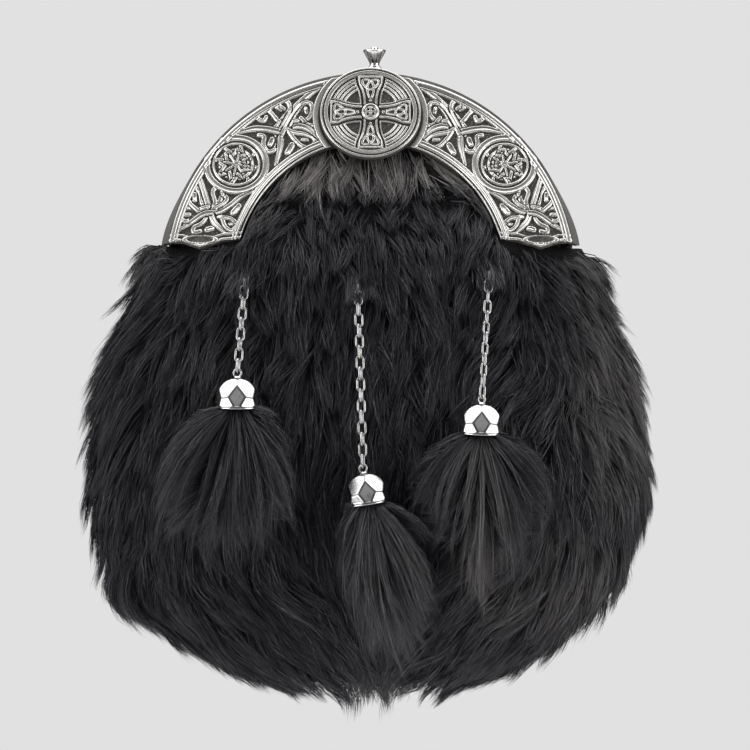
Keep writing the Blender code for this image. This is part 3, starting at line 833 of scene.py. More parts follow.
# The rows of each are distance, height and polish.
OUTER_BORDER = Ridges((
    (-0.1, 0, 0.1), (0.12, 0.45, 0.3), (0.4, 0.95, 0.9), (1, 1.05, 1), (1.6, 0.95, 0.95),
    (1.85, 0.5, 0.25), (2.1, 0.5, 0.25), (2.3, 0.85, 0.95), (2.65, 0.8, 0.95), (2.95, 0, 0),
))
INNER_BORDER = Ridges((
    (-0.1, 0.1, 0.1), (0.15, 0.7, 0.9), (0.6, 0.7, 0.9), (0.8, 0.15, 0.05), (1.2, 0.15, 0.05), (1.4, 0.9, 1),
    (2.05, 0.9, 1), (2.3, 0.5, 0.4), (2.5, 0.5, 0.4), (2.7, 0.85, 1), (3.2, 0.85, 1), (3.5, 0, 0),
))
END_BORDER = Ridges((
    (-0.1, 0.1, 0.1), (0.2, 0.75, 1), (0.8, 0.75, 1), (1.1, 0.15, 0.05), (1.7, 0.15, 0.05),
    (1.95, 0.7, 0.9), (2.4, 0.7, 0.9), (2.7, 0, 0),
))
END_LENS = Ridges(((-1, 0.3, 0.16), (0.72, 0.3, 0.12), (0.86, 0.75, 0.95), (1, 0.7, 0.9), (1.12, 0.2, 0.1)))
SEAT_RING = Ridges((
    (-9, 0.2, 0.2), (0.15, 0.2, 0.1), (0.4, 0.45, 0.3), (0.8, 0.6, 0.66), (1.5, 0.7, 0.72), (2, 0.8, 0.95),
    (2.4, 0.8, 0.95), (2.75, 0, 0),
))
BOSS_RING = Ridges((
    (-2, 0, 0), (-1.75, 0.75, 0.95), (-1.2, 0.75, 0.95), (-0.95, 0, 0), (-0.4, 0, 0),
    (-0.1, 0.7, 0.95), (0.2, 0.78, 1), (0.55, 0.6, 0.7), (1.3, 0.62, 0.66), (1.6, 0.8, 0.9), (1.95, 0.78, 0.9),
    (2.25, 0, 0),
))
ROUNDEL_RIM = Ridges((
    (14.75, 2.3, 0), (15, 3.6, 0.6), (15.2, 3.75, 0.95), (15.45, 3.7, 0.6), (16, 3.75, 0.55),
    (16.3, 3.75, 0.9), (16.5, 2.9, 0), (16.95, 2.9, 0), (17.1, 3.55, 0.85), (17.55, 3.5, 0.95),
    (17.85, 3, 0.3),
))
ROUNDEL_FLOOR = 2.5  # the height of the ground between the arms
ROUNDEL_RINGS = Ridges((
    (-0.1, ROUNDEL_FLOOR, 0), (9.5, ROUNDEL_FLOOR, 0),
    *((ring + out, height, polish) for ring in (10.2, 11.6, 12.95, 14.1) for out, height, polish in (
        (-0.5, 2.62, 0.05), (-0.28, 3.15, 0.95), (0.28, 3.15, 0.95), (0.5, 2.62, 0.1))),
    (14.75, 2.3, 0), (15.35, 2.3, 0), (15.6, 3.3, 0.5),
))
ROUNDEL_ARM_HALF = ((0, 3.6, 6, 8.5, 11, 12.8, 14.3), (2.45, 2.45, 2.6, 3.15, 4.1, 4.5, 4.55))
ROUNDEL_ARM = Ridges((
    (-1.25, 2.5, 0), (-1.12, 3.1, 0.8), (-0.7, 3.1, 0.9), (-0.55, 2.3, 0), (-0.1, 2.3, 0), (0.05, 3.6, 0.8),
    (0.2, 3.85, 1), (0.75, 3.85, 1), (0.92, 3.1, 0), (1.25, 3.1, 0), (1.5, 3.2, 0.25), (9, 3.2, 0.3),
))
ROUNDEL_HUB = Ridges((
    (-0.1, 4, 1), (2, 4, 0.9), (2.15, 3.7, 0.3), (2.3, 3.7, 0.3), (2.45, 4.35, 1), (3, 4.2, 1),
    (3.15, 3, 0), (3.75, 2.9, 0), (3.8, 3.3, 0.1),
))


@dataclass(frozen=True)
class Strand:
    """One strand of a knot: half its width, the spots that it passes, and whether it has a groove."""

    half: float
    spots: Pairs
    double: bool = False

    def band(self, index: int) -> Band:
        """The strand as a band that passes over and under its neighbours in turn."""
        taper, weave = 0.45 if self.double else 0.0, len(self.spots) / 3.2
        return Band(through(self.spots), self.half, taper, weave, 0.9 + 1.7 * index, self.double)


KNOTS = tuple(Strand(*row) for row in (  # the upper field's strands, then the lower one's
    (1.2, ((16.4, 40.7), (21.8, 37.4), (26.4, 33.2), (29.2, 28.8), (31.2, 24.6),
        (31.8, 18.8), (33.2, 12.4)), True),
    (1.2, ((47.8, 23.4), (41.3, 25.3), (36, 25), (31, 24.2), (26, 26.2),
        (21.4, 24.8), (17, 20.8)), True),
    (0.8, ((33, 23), (28.6, 26.6), (26.4, 31), (23.8, 34.4), (21, 34.2),
        (20.7, 31.2), (22.8, 28.4), (27.4, 28))),
    (0.7, ((22.9, 32.6), (22.5, 31.2))),
    (0.8, ((34.4, 24.4), (31.4, 28.4), (28.6, 32), (29.2, 34.9), (31.8, 35.4), (33.2, 33.4), (31.6, 32.2))),
    (0.75, ((28.6, 25.8), (32.6, 28.2), (35.6, 31.6), (38.6, 31.8), (39.8, 29.4), (37.8, 28), (36.8, 29.6))),
    (0.62, ((46.6, 26.6), (42, 30.6), (37.6, 33.8), (33.8, 34.4), (30.4, 32.4))),
    (0.8, ((29.6, 26.4), (32, 21.6), (33.8, 17.6), (36.2, 17.2), (37.6, 20), (37.4, 22.4), (39.2, 23))),
    (1, ((34.6, 21.4), (35.4, 19.6))),
    (1.15, ((29.2, 16.8), (27.6, 19.4))),
    (0.8, ((32.6, 27.2), (27.8, 24.2), (23.4, 23.4), (19.8, 21.6), (20.2, 19.2),
        (23.6, 18.8), (26.8, 21.6), (29.6, 25.6))),
    (0.6, ((22.2, 21.2), (24, 21.4))),
    (0.7, ((24.6, 29.2), (21.6, 26.6), (18.9, 27), (18.6, 30.2))),
    (1.05, ((60.8, 10.6), (59.2, 5.6), (57.6, 0.8), (56.2, -3.8), (54.8, -7.6),
        (52.4, -10.2), (49.6, -12.3)), True),
    (1.05, ((41.4, 2.8), (45.7, 0.7), (49.2, -2.2), (53.2, -4.4), (58.2, -5.2),
        (62.8, -8.2), (67, -10.9)), True),
    (0.75, ((54.8, -5.8), (58.6, -1.8), (59.6, 2), (61.6, 4.4), (63.7, 2.4),
        (63.4, -0.8), (61, -3.4), (57.2, -6.2))),
    (0.85, ((61.5, 1.9), (61.5, -0.3))),
    (0.75, ((57, -5.6), (54.4, -1.4), (55.2, 2.6), (53.6, 4.6), (51.8, 3), (52.8, -0.6), (55.4, -3.6))),
    (0.7, ((54.4, -3.4), (51.6, -1.6), (50.2, 0.4), (51.6, 1.6))),
    (1.2, ((47.9, -4.7), (46.2, -2.3))),
    (0.75, ((58.2, -3.6), (53, -6.2), (48.8, -6.8), (46.8, -9), (48.6, -11),
        (50.8, -9.4), (52, -6.4), (55, -3))),
    (0.6, ((48.4, -8.8), (49.4, -9))),
    (0.75, ((56.6, -2.6), (60.8, -3.6), (64.4, -3.2), (66.3, -5.6), (64.6, -7.8), (61.4, -6.2), (57.6, -3.4))),
    (0.75, ((64.6, -5.4), (63.2, -5.3))),
    (0.7, ((56.4, -5), (58.8, -8.4), (61.6, -9.8), (61.6, -11.6), (59.4, -11.2))),
    (1, ((57, -10.6), (55.2, -10.2))),
))
# How far below END_Z the cantle's ends reach, at distances from the middle line.
END_DROP = ((45, 51.5, 59.3, 65.5, 70), (-1, -0.5, 1.9, -0.2, 0))


@dataclass
class Cantle:
    """The cast crescent: one shell with a dense worked face, its rim and its flared side wall."""

    columns: int = 740
    face_rows: int = 104
    plate: float = 2.0  # how thick the face is
    wall: float = 1.6  # how thick the side wall is
    boss: tuple[float, float] = (47.1, 12.5)  # x and z
    boss_radius: float = 9.5
    star_radius: float = 7.5
    star_ring: float = 5.7
    star_arm: float = 0.78  # how much of the star's radius its straight arms fill
    lens: tuple[float, float, float, float] = (59.4, -14.2, 6.0, 1.45)  # x, z, half its width and height
    # Just behind the rim, the wall's polish paints a dark line, which is painted shade behind the rim's edge.
    wall_marks: Pairs = (  # polish at shares of the way back
        (0.0, 0.12), (0.04, 0.02), (0.12, 0.02), (0.2, 0.6), (0.36, 0.34), (0.5, 0.66), (0.66, 0.36), (0.82, 0.5),
        (0.96, 0.85), (1.0, 0.8),
    )
    flute: float = 0.12  # how much of the way back the fluting behind the rim takes

    def grid(self) -> Two:
        """The face's points seen from the front, from the inner arc out.

        Returns:
            Their x and their z.
        """
        share = np.linspace(0, 1, self.columns)
        across = np.linspace(0, 1, self.face_rows)[:, None]
        edges = [arc.at(arc.start + (math.pi - 2 * arc.start) * share) for arc in (INNER_ARC, FRONT_ARC)]
        x, z = (inner * (1 - across) + outer * across for inner, outer in zip(*edges))
        drop = np.interp(np.abs(x), *END_DROP)
        return x, z - drop * (1 - smooth(0, 7, z - END_Z))

    def star(self) -> list[Band]:
        """The small boss's eight-pointed star of crossing bands, its ring and its straight arms.

        Returns:
            The bands.
        """
        centre = np.array(self.boss)
        turns = np.arange(8) * math.pi / 4 + 0.2
        tips = centre + self.star_radius * stacked(np.cos(turns), np.sin(turns) * COS_LEAN)
        bands = [Band(straight(tips[i], tips[(i + 3) % 8]), 0.6, 0.0, 2.0, 0.8 * i, False) for i in range(8)]
        ring = oval(*self.boss, self.star_ring, self.star_ring * COS_LEAN, 64)
        bands.append(Band(ring, 0.5, 0.0, 8.0, 0.4, False))
        arms = [straight(centre, centre + (tip - centre) * self.star_arm) for tip in tips]
        return bands + [Band(arm, 0.42, 0.0, 0.5, 0.0, False) for arm in arms]

    def relief(self, x: Array, z: Array) -> Two:
        """Works the face: knots, borders, small bosses, ends, and the seat of the round boss.

        Args:
            x: The points' distances from the middle line.
            z: Their heights.

        Returns:
            Heights and polish.
        """
        side = np.abs(x)
        relief = Relief(side, z)
        relief.weave([strand.band(i) for i, strand in enumerate(KNOTS)], 0.82)
        borders = ((-FRONT_ARC.reach(x, z), OUTER_BORDER), (INNER_ARC.reach(x, z), INNER_BORDER))
        for distance, ridges in borders:
            relief.border(distance, ridges, cover=True)
        boss = np.hypot(side - self.boss[0], (z - self.boss[1]) / COS_LEAN)
        relief.clear(boss, self.boss_radius + 1, self.boss_radius - 1.6)
        relief.weave(self.star(), 0.85)
        relief.border(boss - self.boss_radius, BOSS_RING, cover=True)
        for distance, ridges in borders:
            relief.border(distance, ridges, boss > self.boss_radius - 0.5)
        relief.border(z - END_Z + np.interp(side, *END_DROP), END_BORDER)
        lens_x, lens_z, wide, high = self.lens
        relief.border(np.hypot((side - lens_x) / wide, (z - lens_z) / high), END_LENS, cover=True)
        seat = np.hypot(x, (z - ROUNDEL_Z) / COS_LEAN)
        relief.border(seat - ROUNDEL_RADIUS, SEAT_RING, cover=True)
        return relief.result()

    def build(self, material: Material) -> None:
        """Makes the cantle.

        Args:
            material: Its finish.
        """
        x, z = self.grid()
        lift, polish = self.relief(x, z)
        rows, marks = [], []
        plain = np.zeros(self.columns)
        inner = INNER_ARC.outward(x[0], z[0])
        under = -self.plate
        for out, low, mark in ((2.5, under, 0.1), (0, under, 0.2), (0, under * 0.6, 0.4), (0, -0.3, 0.6)):
            rows.append(on_face(x[0], z[0], plain + low) + inner * out)
            marks.append(plain + mark)
        rows += list(on_face(x, z, lift))
        marks += list(polish)
        front = on_face(x[-1], z[-1], plain - 0.45)
        turns = np.arctan2(z[-1] - FRONT_ARC.z, x[-1])
        radius = REAR_ARC.radius + 1.6 * smooth(9, -14, z[-1])
        rear = stacked(radius * np.cos(turns), -BACK, REAR_ARC.z + radius * np.sin(turns))
        outward = FRONT_ARC.outward(x[-1], z[-1])
        for step, mark in self.wall_marks:
            bulge = 0.25 * math.sin(math.pi * (step / self.flute)) if step < self.flute else 0.0
            rows.append(front + (rear - front) * step + outward * bulge)
            # painted shade: the wall is darker towards the top of the arch
            marks.append(mark * (0.22 + 0.95 * smooth(16, -8, z[-1])))
        rows.append(rear - outward * self.wall)
        rows.append(front - outward * self.wall + np.array((0.0, 2.4, 0.0)))
        marks += [plain + 0.5, plain + 0.2]
        first_wall = len(rows) - len(self.wall_marks) - 2
        points, polish = self.closed_ends(np.array(rows), np.array(marks), first_wall)
        faces = sheet_faces(*polish.shape)
        Piece("cantle_relief", points, [faces], Slot.SILVER, ("cantle",)).build(material, polish=polish)

    def closed_ends(self, points: Array, polish: Array, first_wall: int) -> Two:
        """Turns the shell's two open ends inwards, so that they show the plate's and the wall's thickness.

        Args:
            points: The shell's points, row by row.
            polish: Their polish.
            first_wall: The first row of the side wall.

        Returns:
            Points and polish with a column more at each end.
        """
        ends = []
        for end in (0, -1):
            edge = points[:, end].copy()
            edge[4:first_wall] -= NORMAL * self.plate
            wall = edge[first_wall:-2]
            wall -= FRONT_ARC.outward(wall[:, 0], wall[:, 2]) * self.wall
            ends.append(edge[:, None])
        mark = np.full((len(points), 1), 0.3)
        return np.concatenate([ends[0], points, ends[1]], axis=1), np.concatenate([mark, polish, mark], axis=1)


@dataclass
class Roundel:
    """The round boss: rings, a flared cross with triangle knots, and a knotted hub."""

    rings: int = 104
    spokes: int = 384
    reach: float = 14.3  # how far the arms reach
    knot_far: float = 10.55  # how far out each arm's triangle knot lies
    bead_far: float = 4.55  # how far out each arm's bead lies

    def build(self, material: Material) -> None:
        """Makes the boss.

        Args:
            material: Its finish.
        """
        turns = circle(self.spokes)
        radii = ROUNDEL_RADIUS * np.linspace(0.0, 1.0, self.rings) ** 0.8
        radii[0] = 0.02
        u, v = radii[:, None] * np.cos(turns), radii[:, None] * np.sin(turns)
        lift, polish = self.relief(u, v)
        edge = np.full(self.spokes, 1.0)
        rows = list(self.place(u, v, lift))
        marks = list(polish)
        for height, out, mark in ((2.9, 0.04, 0.4), (1.6, 0.05, 0.3), (1.2, 0.0, 0.2), (1.2, -2.5, 0.1)):
            scale = 1 + out / ROUNDEL_RADIUS
            rows.append(self.place(u[-1] * scale, v[-1] * scale, edge * height))
            marks.append(edge * mark)
        points, polish = np.array(rows), np.array(marks)
        faces = sheet_faces(len(rows), self.spokes, closed=True)
        Piece("cross_roundel_relief", points, [faces], Slot.SILVER, ("cross_roundel",)).build(material, polish=polish)

    def place(self, u: Array, v: Array, lift: Array) -> Array:
        """Points of the boss in its own plane, across, uphill and lifted from the cantle's face."""
        centre = on_face(0.0, ROUNDEL_Z, 0.0)
        return centre + u[..., None] * SIDEWAYS + v[..., None] * UPHILL + lift[..., None] * NORMAL

    def relief(self, u: Array, v: Array) -> Two:
        """Works the boss: rings, cross, knots, rim and hub.

        Args:
            u: Distances across the boss.
            v: Distances uphill.

        Returns:
            Heights and polish.
        """
        radius = np.hypot(u, v)
        relief = Relief(u, v * COS_LEAN, ROUNDEL_FLOOR)
        relief.border(radius, ROUNDEL_RINGS, cover=True)
        quarter = np.round(np.arctan2(u, v) / (math.pi / 2)) * (math.pi / 2)
        across = u * np.cos(quarter) - v * np.sin(quarter)
        along = u * np.sin(quarter) + v * np.cos(quarter)
        inset = np.minimum(np.interp(along, *ROUNDEL_ARM_HALF) - np.abs(across), self.reach - along)
        relief.border(inset, ROUNDEL_ARM, cover=True)
        relief.weave(self.knots(), 3.75, 3.1)
        relief.border(radius, ROUNDEL_RIM, cover=True)
        relief.border(radius, ROUNDEL_HUB, cover=True)
        self.pierce_hub(relief, u, v)
        return relief.result()

    def knots(self) -> list[Band]:
        """The triangle knot and the bead of each of the four arms.

        Returns:
            The bands.
        """
        flat = np.array((1.0, COS_LEAN))
        steps = np.linspace(0, math.tau, 73)[:, None]
        far = np.cos(steps) - 2 * np.cos(2 * steps)
        far = self.knot_far + 1.08 * np.where(far < 0, far * 1.62, far)
        wide = (np.sin(steps) + 2 * np.sin(2 * steps)) * np.interp(far, (5, 9, 12.5), (0.62, 0.85, 1.12))
        bands = []
        for i in range(4):
            turn = math.pi / 2 * i
            out, side = np.array((math.sin(turn), math.cos(turn))), np.array((math.cos(turn), -math.sin(turn)))
            bands.append(Band((side * wide + out * far) * flat, 0.44, 0.0, 3.0, 0.5, False))
            bands.append(Band(oval(*(out * self.bead_far), 0.1, 0.1) * flat, 0.5, double=False))
        return bands

    def pierce_hub(self, relief: Relief, u: Array, v: Array) -> None:
        """Sinks the four dark holes of the hub's four-lobed knot.

        Args:
            relief: The boss's relief.
            u: Distances across the boss.
            v: Distances uphill.
        """
        out = 1.3
        for turn in np.arange(4) * math.pi / 2 + math.pi / 4:
            gap = np.hypot(u - out * math.cos(turn), v - out * math.sin(turn)).ravel()
            hole = 1 - smooth(0.35, 0.62, gap)
            relief.height -= 1.0 * hole
            relief.polish *= 1 - hole


# ---- fur ----


PELT = (  # z, half the width, the depth in front of the origin, and how square it is
    (-16.3, 75, 44.6, 3.8), (-17.6, 78.5, 45.2, 3.7), (-19, 80.5, 45.8, 3.6),
    (-26, 84, 47, 3.4), (-40, 87.5, 49, 3.2),
    (-56, 94.5, 51, 3), (-72, 98.5, 52.5, 2.9), (-90, 100, 53.5, 2.8),
    (-106, 100.5, 53.5, 2.8), (-120, 96.5, 53, 2.7), (-134, 91.5, 51.5, 2.6),
    (-146, 82, 48.5, 2.6), (-157, 68.5, 43.5, 2.5), (-167, 52, 36, 2.4),
    (-174, 30, 27, 2.2), (-178, 20, 22, 2.2),
)
PELT_TABLE = np.array(PELT[::-1]).T
PELT_LIFT = ((-18, -8, 2, 12, 42), (6.2, 4.2, 1.6, -0.5, -0.5))  # z, and how far the fur stands off the leaning face
SHOULDER_Z = -16.2
SWEEP = (  # z, and how far the fur stands out on the left
    (-180, -165, -155, -142, -130, -115, -100, -70, -44, -30, -15),
    (1, 8, 9.5, 11, 3.5, 1.6, 1, 2.2, 2.2, 0.8, 0),
)


def section_at(z: Array | float) -> list[Array]:
    """The pelt's half width, depth and squareness at heights, in straight lines between its stations."""
    heights, *columns = PELT_TABLE
    return [np.interp(z, heights, column) for column in columns]


def front_of(section: list[Array], x: Array | float) -> Array:
    """How far in front of the origin a section reaches at distances from the middle line."""
    half, depth, square = section
    return BACK + (depth - BACK) * (1 - np.minimum(np.abs(x) / half, 0.99) ** square) ** (1 / square)


class PeltForm:
    """The fur's outer form as a field: at each height a square-shouldered half oval."""

    def __init__(self) -> None:
        """Reads the stations, follows the cantle above the shoulder, and softens the whole."""
        self.z = np.linspace(-200.0, 45.0, 981)
        half, depth, square = section_at(self.z)
        under = self.z > SHOULDER_Z
        above = self.z[under]
        half[under] = np.sqrt(np.maximum(SKIN_ARC.radius**2 - (above - SKIN_ARC.z) ** 2, 25.0))
        depth[under] = -face_y(above) + np.interp(above, *PELT_LIFT) / COS_LEAN
        square[under] = 6.0
        soften = np.hanning(15) / np.hanning(15).sum()
        self.half, self.depth, self.square = (
            np.convolve(np.pad(values, 7, "edge"), soften, "valid") for values in (half, depth, square)
        )

    def at(self, z: Array) -> tuple[Array, Array, Array]:
        """Half width, depth and squareness at heights."""
        return tuple(np.interp(z, self.z, values) for values in (self.half, self.depth, self.square))

    def share(self, points: Array) -> Array:
        """Where points lie in the form.

        Args:
            points: Points.

        Returns:
            1 on its surface, less inside.
        """
        half, depth, square = self.at(points[..., 2])
        across = np.abs(points[..., 0]) / half
        forward = np.maximum(-points[..., 1] - BACK, 0) / (depth - BACK)
        return (across**square + forward**square) ** (1 / square)

    def distance(self, points: Array) -> Two:
        """Distances outside the form, and outward normals.

        Args:
            points: Points.

        Returns:
            Distances, negative inside, and normals.
        """
        step = 0.6
        slopes = []
        for axis in range(3):
            shift = np.zeros(3)
            shift[axis] = step
            slopes.append((self.share(points + shift) - self.share(points - shift)) / (2 * step))
        slope = np.stack(slopes, axis=-1)
        steep = np.maximum(np.linalg.norm(slope, axis=-1), 1e-4)
        return (self.share(points) - 1) / steep, slope / steep[..., None]

    def front(self, x: Array, z: Array) -> Array:
        """How far in front of the origin the form reaches."""
        return front_of(self.at(z), x)

    def section(self, z: float, count: int, inset: float) -> Array:
        """Points of a section from the left rear edge round the front, evenly spaced.

        Args:
            z: Its height.
            count: How many points.
            inset: How far inside the form they lie.

        Returns:
            Points.
        """
        half, depth, square = (float(value) for value in self.at(np.array(z)))
        turns = np.linspace(-math.pi / 2, math.pi / 2, 481)
        across = (half - inset) * np.sign(turns) * np.abs(np.sin(turns)) ** (2 / square)
        forward = (depth - inset - BACK) * np.clip(np.cos(turns), 0, 1) ** (2 / square)
        run = np.concatenate([[0], np.cumsum(np.hypot(np.diff(across), np.diff(forward)))])
        stops = np.linspace(0, run[-1], count)
        return stacked(np.interp(stops, run, across), -BACK - np.interp(stops, run, forward), z)


FLOW = (  # x, z, and the hair's lie there: degrees from straight down, positive to the right
    (-40, -10, -25), (-33, 4, -30), (-24, 10, -15), (-10, 9, 0), (4, 9, 3), (18, 10, 25), (30, 4, 30), (38, -5, 15),
    (0, -7, 0), (-14, -14, 15), (18, -14, 12), (28, -14, 5), (-77, -20, -62), (-70, -19, -40), (-60, -25, -18),
    (-84, -32, -34), (-46, -35, -12), (-91, -49, -28), (-77, -52, -28), (-60, -52, -14), (-98, -77, -24),
    (-84, -80, -18), (-60, -80, -6), (-28, -45, -5), (-17, -77, 0), (-35, -31, -12), (-4, -35, 0), (10, -35, 8),
    (0, -77, 0), (17, -70, -8), (62, -23, 14), (70, -19, 40), (78, -20, 58),
    (84, -31, 26), (80, -52, 20), (94, -63, 22), (94, -87, 20), (77, -80, 18), (56, -35, -5), (52, -56, -35),
    (59, -70, -40), (45, -84, -20), (66, -52, 10), (-98, -105, -18), (-95, -126, -8), (-84, -140, 12), (-77, -126, 2),
    (-60, -126, 15), (-67, -147, 34), (-49, -140, 45), (-39, -154, 48), (-24, -147, 50), (-20, -164, 50),
    (-42, -119, 10), (-24, -126, 20), (-9, -171, 35), (96, -105, 15), (91, -122, 5), (80, -136, -5), (66, -130, -25),
    (52, -136, -45), (66, -147, -20), (45, -147, -50), (35, -157, -52), (21, -164, -50), (52, -154, -35),
    (77, -147, -10), (11, -171, -30), (73, -112, 0), (0, -150, 5), (1, -174, 5),
)


def hair_lean(points: Array) -> Array:
    """The lie of the hair, from the spots of FLOW around.

    Args:
        points: Points.

    Returns:
        Angles from straight down, in radians.
    """
    x, z = points[..., 0], points[..., 2]
    total, weights = np.zeros(x.shape), np.full(x.shape, 1e-9)
    for spot_x, spot_z, degrees in FLOW:
        near = ((x - spot_x) ** 2 + (z - spot_z) ** 2) / 100.0
        weight = np.exp(-near) + 0.02 / (1 + near) ** 2
        total += weight * degrees
        weights += weight
    return np.radians(total / weights)


# The brown-grey places are partly the fur's own brown and partly painted highlight.
BROWN_AND_HIGHLIGHT = (  # x, z, half width, half height and strength of the brown-grey places
    (86, -60, 18, 44, 0.42), (80, -20, 16, 12, 0.27), (70, -125, 34, 28, 0.28), (-57, -18, 10, 6, 0.12),
    (-79, -19, 8, 7, 0.28), (4, -168, 18, 9, 0.22), (-90, -70, 10, 30, 0.03), (30, -20, 12, 12, 0.06),
    (40, -160, 30, 10, 0.11), (-36, 3, 9, 9, 0.24), (36, 3, 9, 9, 0.17),
)


def highlight_kept(points: Array) -> Array:
    """How much of its painted highlight the hair keeps at points: less under the arch, as painted shade under the
    cantle and the boss, and less on the left, painted darker against the stronger key light there.
    """
    x, z = points[..., 0], points[..., 2]
    return 1 - 0.75 * np.exp(-((x / 42) ** 4) - ((z + 5) / 9) ** 2) - 0.4 * smooth(-45, -85, x)


def brown_and_highlight(points: Array) -> Array:
    """How brown-grey the hair is, partly real brown and partly painted highlight: most above a jagged line high in
    the arch.

    Args:
        points: Points.

    Returns:
        Shares, which the finish holds at 1.
    """
    x, z = points[..., 0], points[..., 2]
    tone = np.full(x.shape, 0.018)
    for cx, cz, wide, high, strength in BROWN_AND_HIGHLIGHT:
        tone = np.maximum(tone, strength * np.exp(-(((x - cx) / wide) ** 2 + ((z - cz) / high) ** 2) ** 1.5))
    jagged = 9.8 + 2.2 * np.sin(x * 0.55) + 1.6 * np.sin(x * 1.31 + 2)
    return np.maximum(tone, 1.55 * smooth(-1.5, 2.5, z - jagged))


@dataclass
class Hairs:
    """Single hairs: their paths, and each one's normal, tone, painted highlight, width and roll about its path."""

    paths: Array
    normal: Array
    tone: Array
    painted_sheen: Array
    width: Array
    roll: Array


@dataclass(frozen=True)
class Strands:
    """How single hairs are drawn: flat tapered ribbons gathered round guide hairs."""

    per_guide: int = 10
    width: float = 0.3
    spread: float = 1.15
    gather: float = 0.62
    curl: float = 0.5
    nodes: int = 5

    def grow(self, guides: Array, normals: Array, tone: Array, rng: Rng) -> Hairs:
        """Draws hairs round each guide.

        Args:
            guides: Guide paths, a row of points for each.
            normals: Each guide's outward normal.
            tone: Each guide's brown-grey share.
            rng: Chance.

        Returns:
            The hairs.
        """
        count, steps, _ = guides.shape
        which = np.repeat(np.arange(count), self.per_guide)
        hairs = len(which)
        share = np.linspace(0, 1, self.nodes)
        reach = rng.uniform(0.72, 1.0, hairs) * np.where(rng.random(hairs) < 0.06, 1.12, 1.0)
        spot = np.minimum(share[None] * reach[:, None], 1.06) * (steps - 1)
        low = np.clip(spot.astype(int), 0, steps - 2)
        blend = (spot - low)[..., None]
        paths = guides[which[:, None], low] * (1 - blend) + guides[which[:, None], low + 1] * blend
        normal = normals[which]
        start = unit(guides[which, 1] - guides[which, 0])
        side = unit(np.cross(start, normal))
        offset = side * rng.normal(0, self.spread, (hairs, 1)) + normal * rng.normal(0, 0.6, (hairs, 1))
        offset += start * rng.normal(0, self.spread, (hairs, 1))
        fade = (1 - self.gather * share**1.1)[None, :, None]
        wave = np.sin(share[None] * rng.uniform(4, 10, (hairs, 1)) + rng.uniform(0, 6.3, (hairs, 1)))
        sway = side * rng.normal(0, self.curl, (hairs, 1)) + normal * rng.normal(0, self.curl, (hairs, 1))
        paths += offset[:, None] * fade + sway[:, None] * (wave * share)[..., None]
        # each hair's painted highlight: faint on most, strong on about one in eight
        painted_sheen = np.clip(rng.normal(0.03, 0.10, hairs), 0, 0.5) + np.where(rng.random(hairs) < 0.13, 0.42, 0)
        return Hairs(
            paths, normal, tone=np.clip(tone[which] * rng.uniform(0.5, 1.4, hairs), 0, 1), painted_sheen=painted_sheen,
            width=self.width * rng.uniform(0.7, 1.2, hairs), roll=rng.normal(0, 0.75, hairs),
        )

    def ribbons(self, hairs: Hairs) -> tuple[Array, list[Array], dict[str, Array]]:
        """Turns hairs into ribbons.

        Args:
            hairs: What grow returned.

        Returns:
            Points, faces and traits.
        """
        paths = hairs.paths
        count, nodes, _ = paths.shape
        ahead = unit(np.gradient(paths, axis=1))
        side = unit(np.cross(ahead, hairs.normal[:, None]))
        up = np.cross(side, ahead)
        roll = hairs.roll[:, None, None]
        side = side * np.cos(roll) + up * np.sin(roll)
        share = np.linspace(0, 1, nodes)
        half = 0.5 * hairs.width[:, None] * (1 - share[None] ** 1.6)
        width = 2 * nodes - 1  # points of one ribbon: two for each node, and its tip
        rows = np.empty((count, width, 3))
        rows[:, 0:-1:2] = (paths - side * half[..., None])[:, :-1]
        rows[:, 1::2] = paths[:, :-1] + side[:, :-1] * half[:, :-1, None]
        rows[:, -1] = paths[:, -1]
        first = np.arange(count)[:, None] * width
        quads = np.array([(2 * i, 2 * i + 1, 2 * i + 3, 2 * i + 2) for i in range(nodes - 2)])
        faces = [(first[:, :, None] + quads[None]).reshape(-1, 4), first + np.arange(width - 3, width)]
        along = np.repeat(share, 2)[:width]
        # painted shade towards each hair's root, where it lies under other hair: the painted highlight and the
        # brown-grey tone rise towards the tip
        painted_sheen = hairs.painted_sheen[:, None] * (0.35 + 0.9 * along[None])
        tone = hairs.tone[:, None] * (0.6 + 0.5 * along[None])
        return rows.reshape(-1, 3), faces, {"tone": tone, "painted_sheen": painted_sheen}


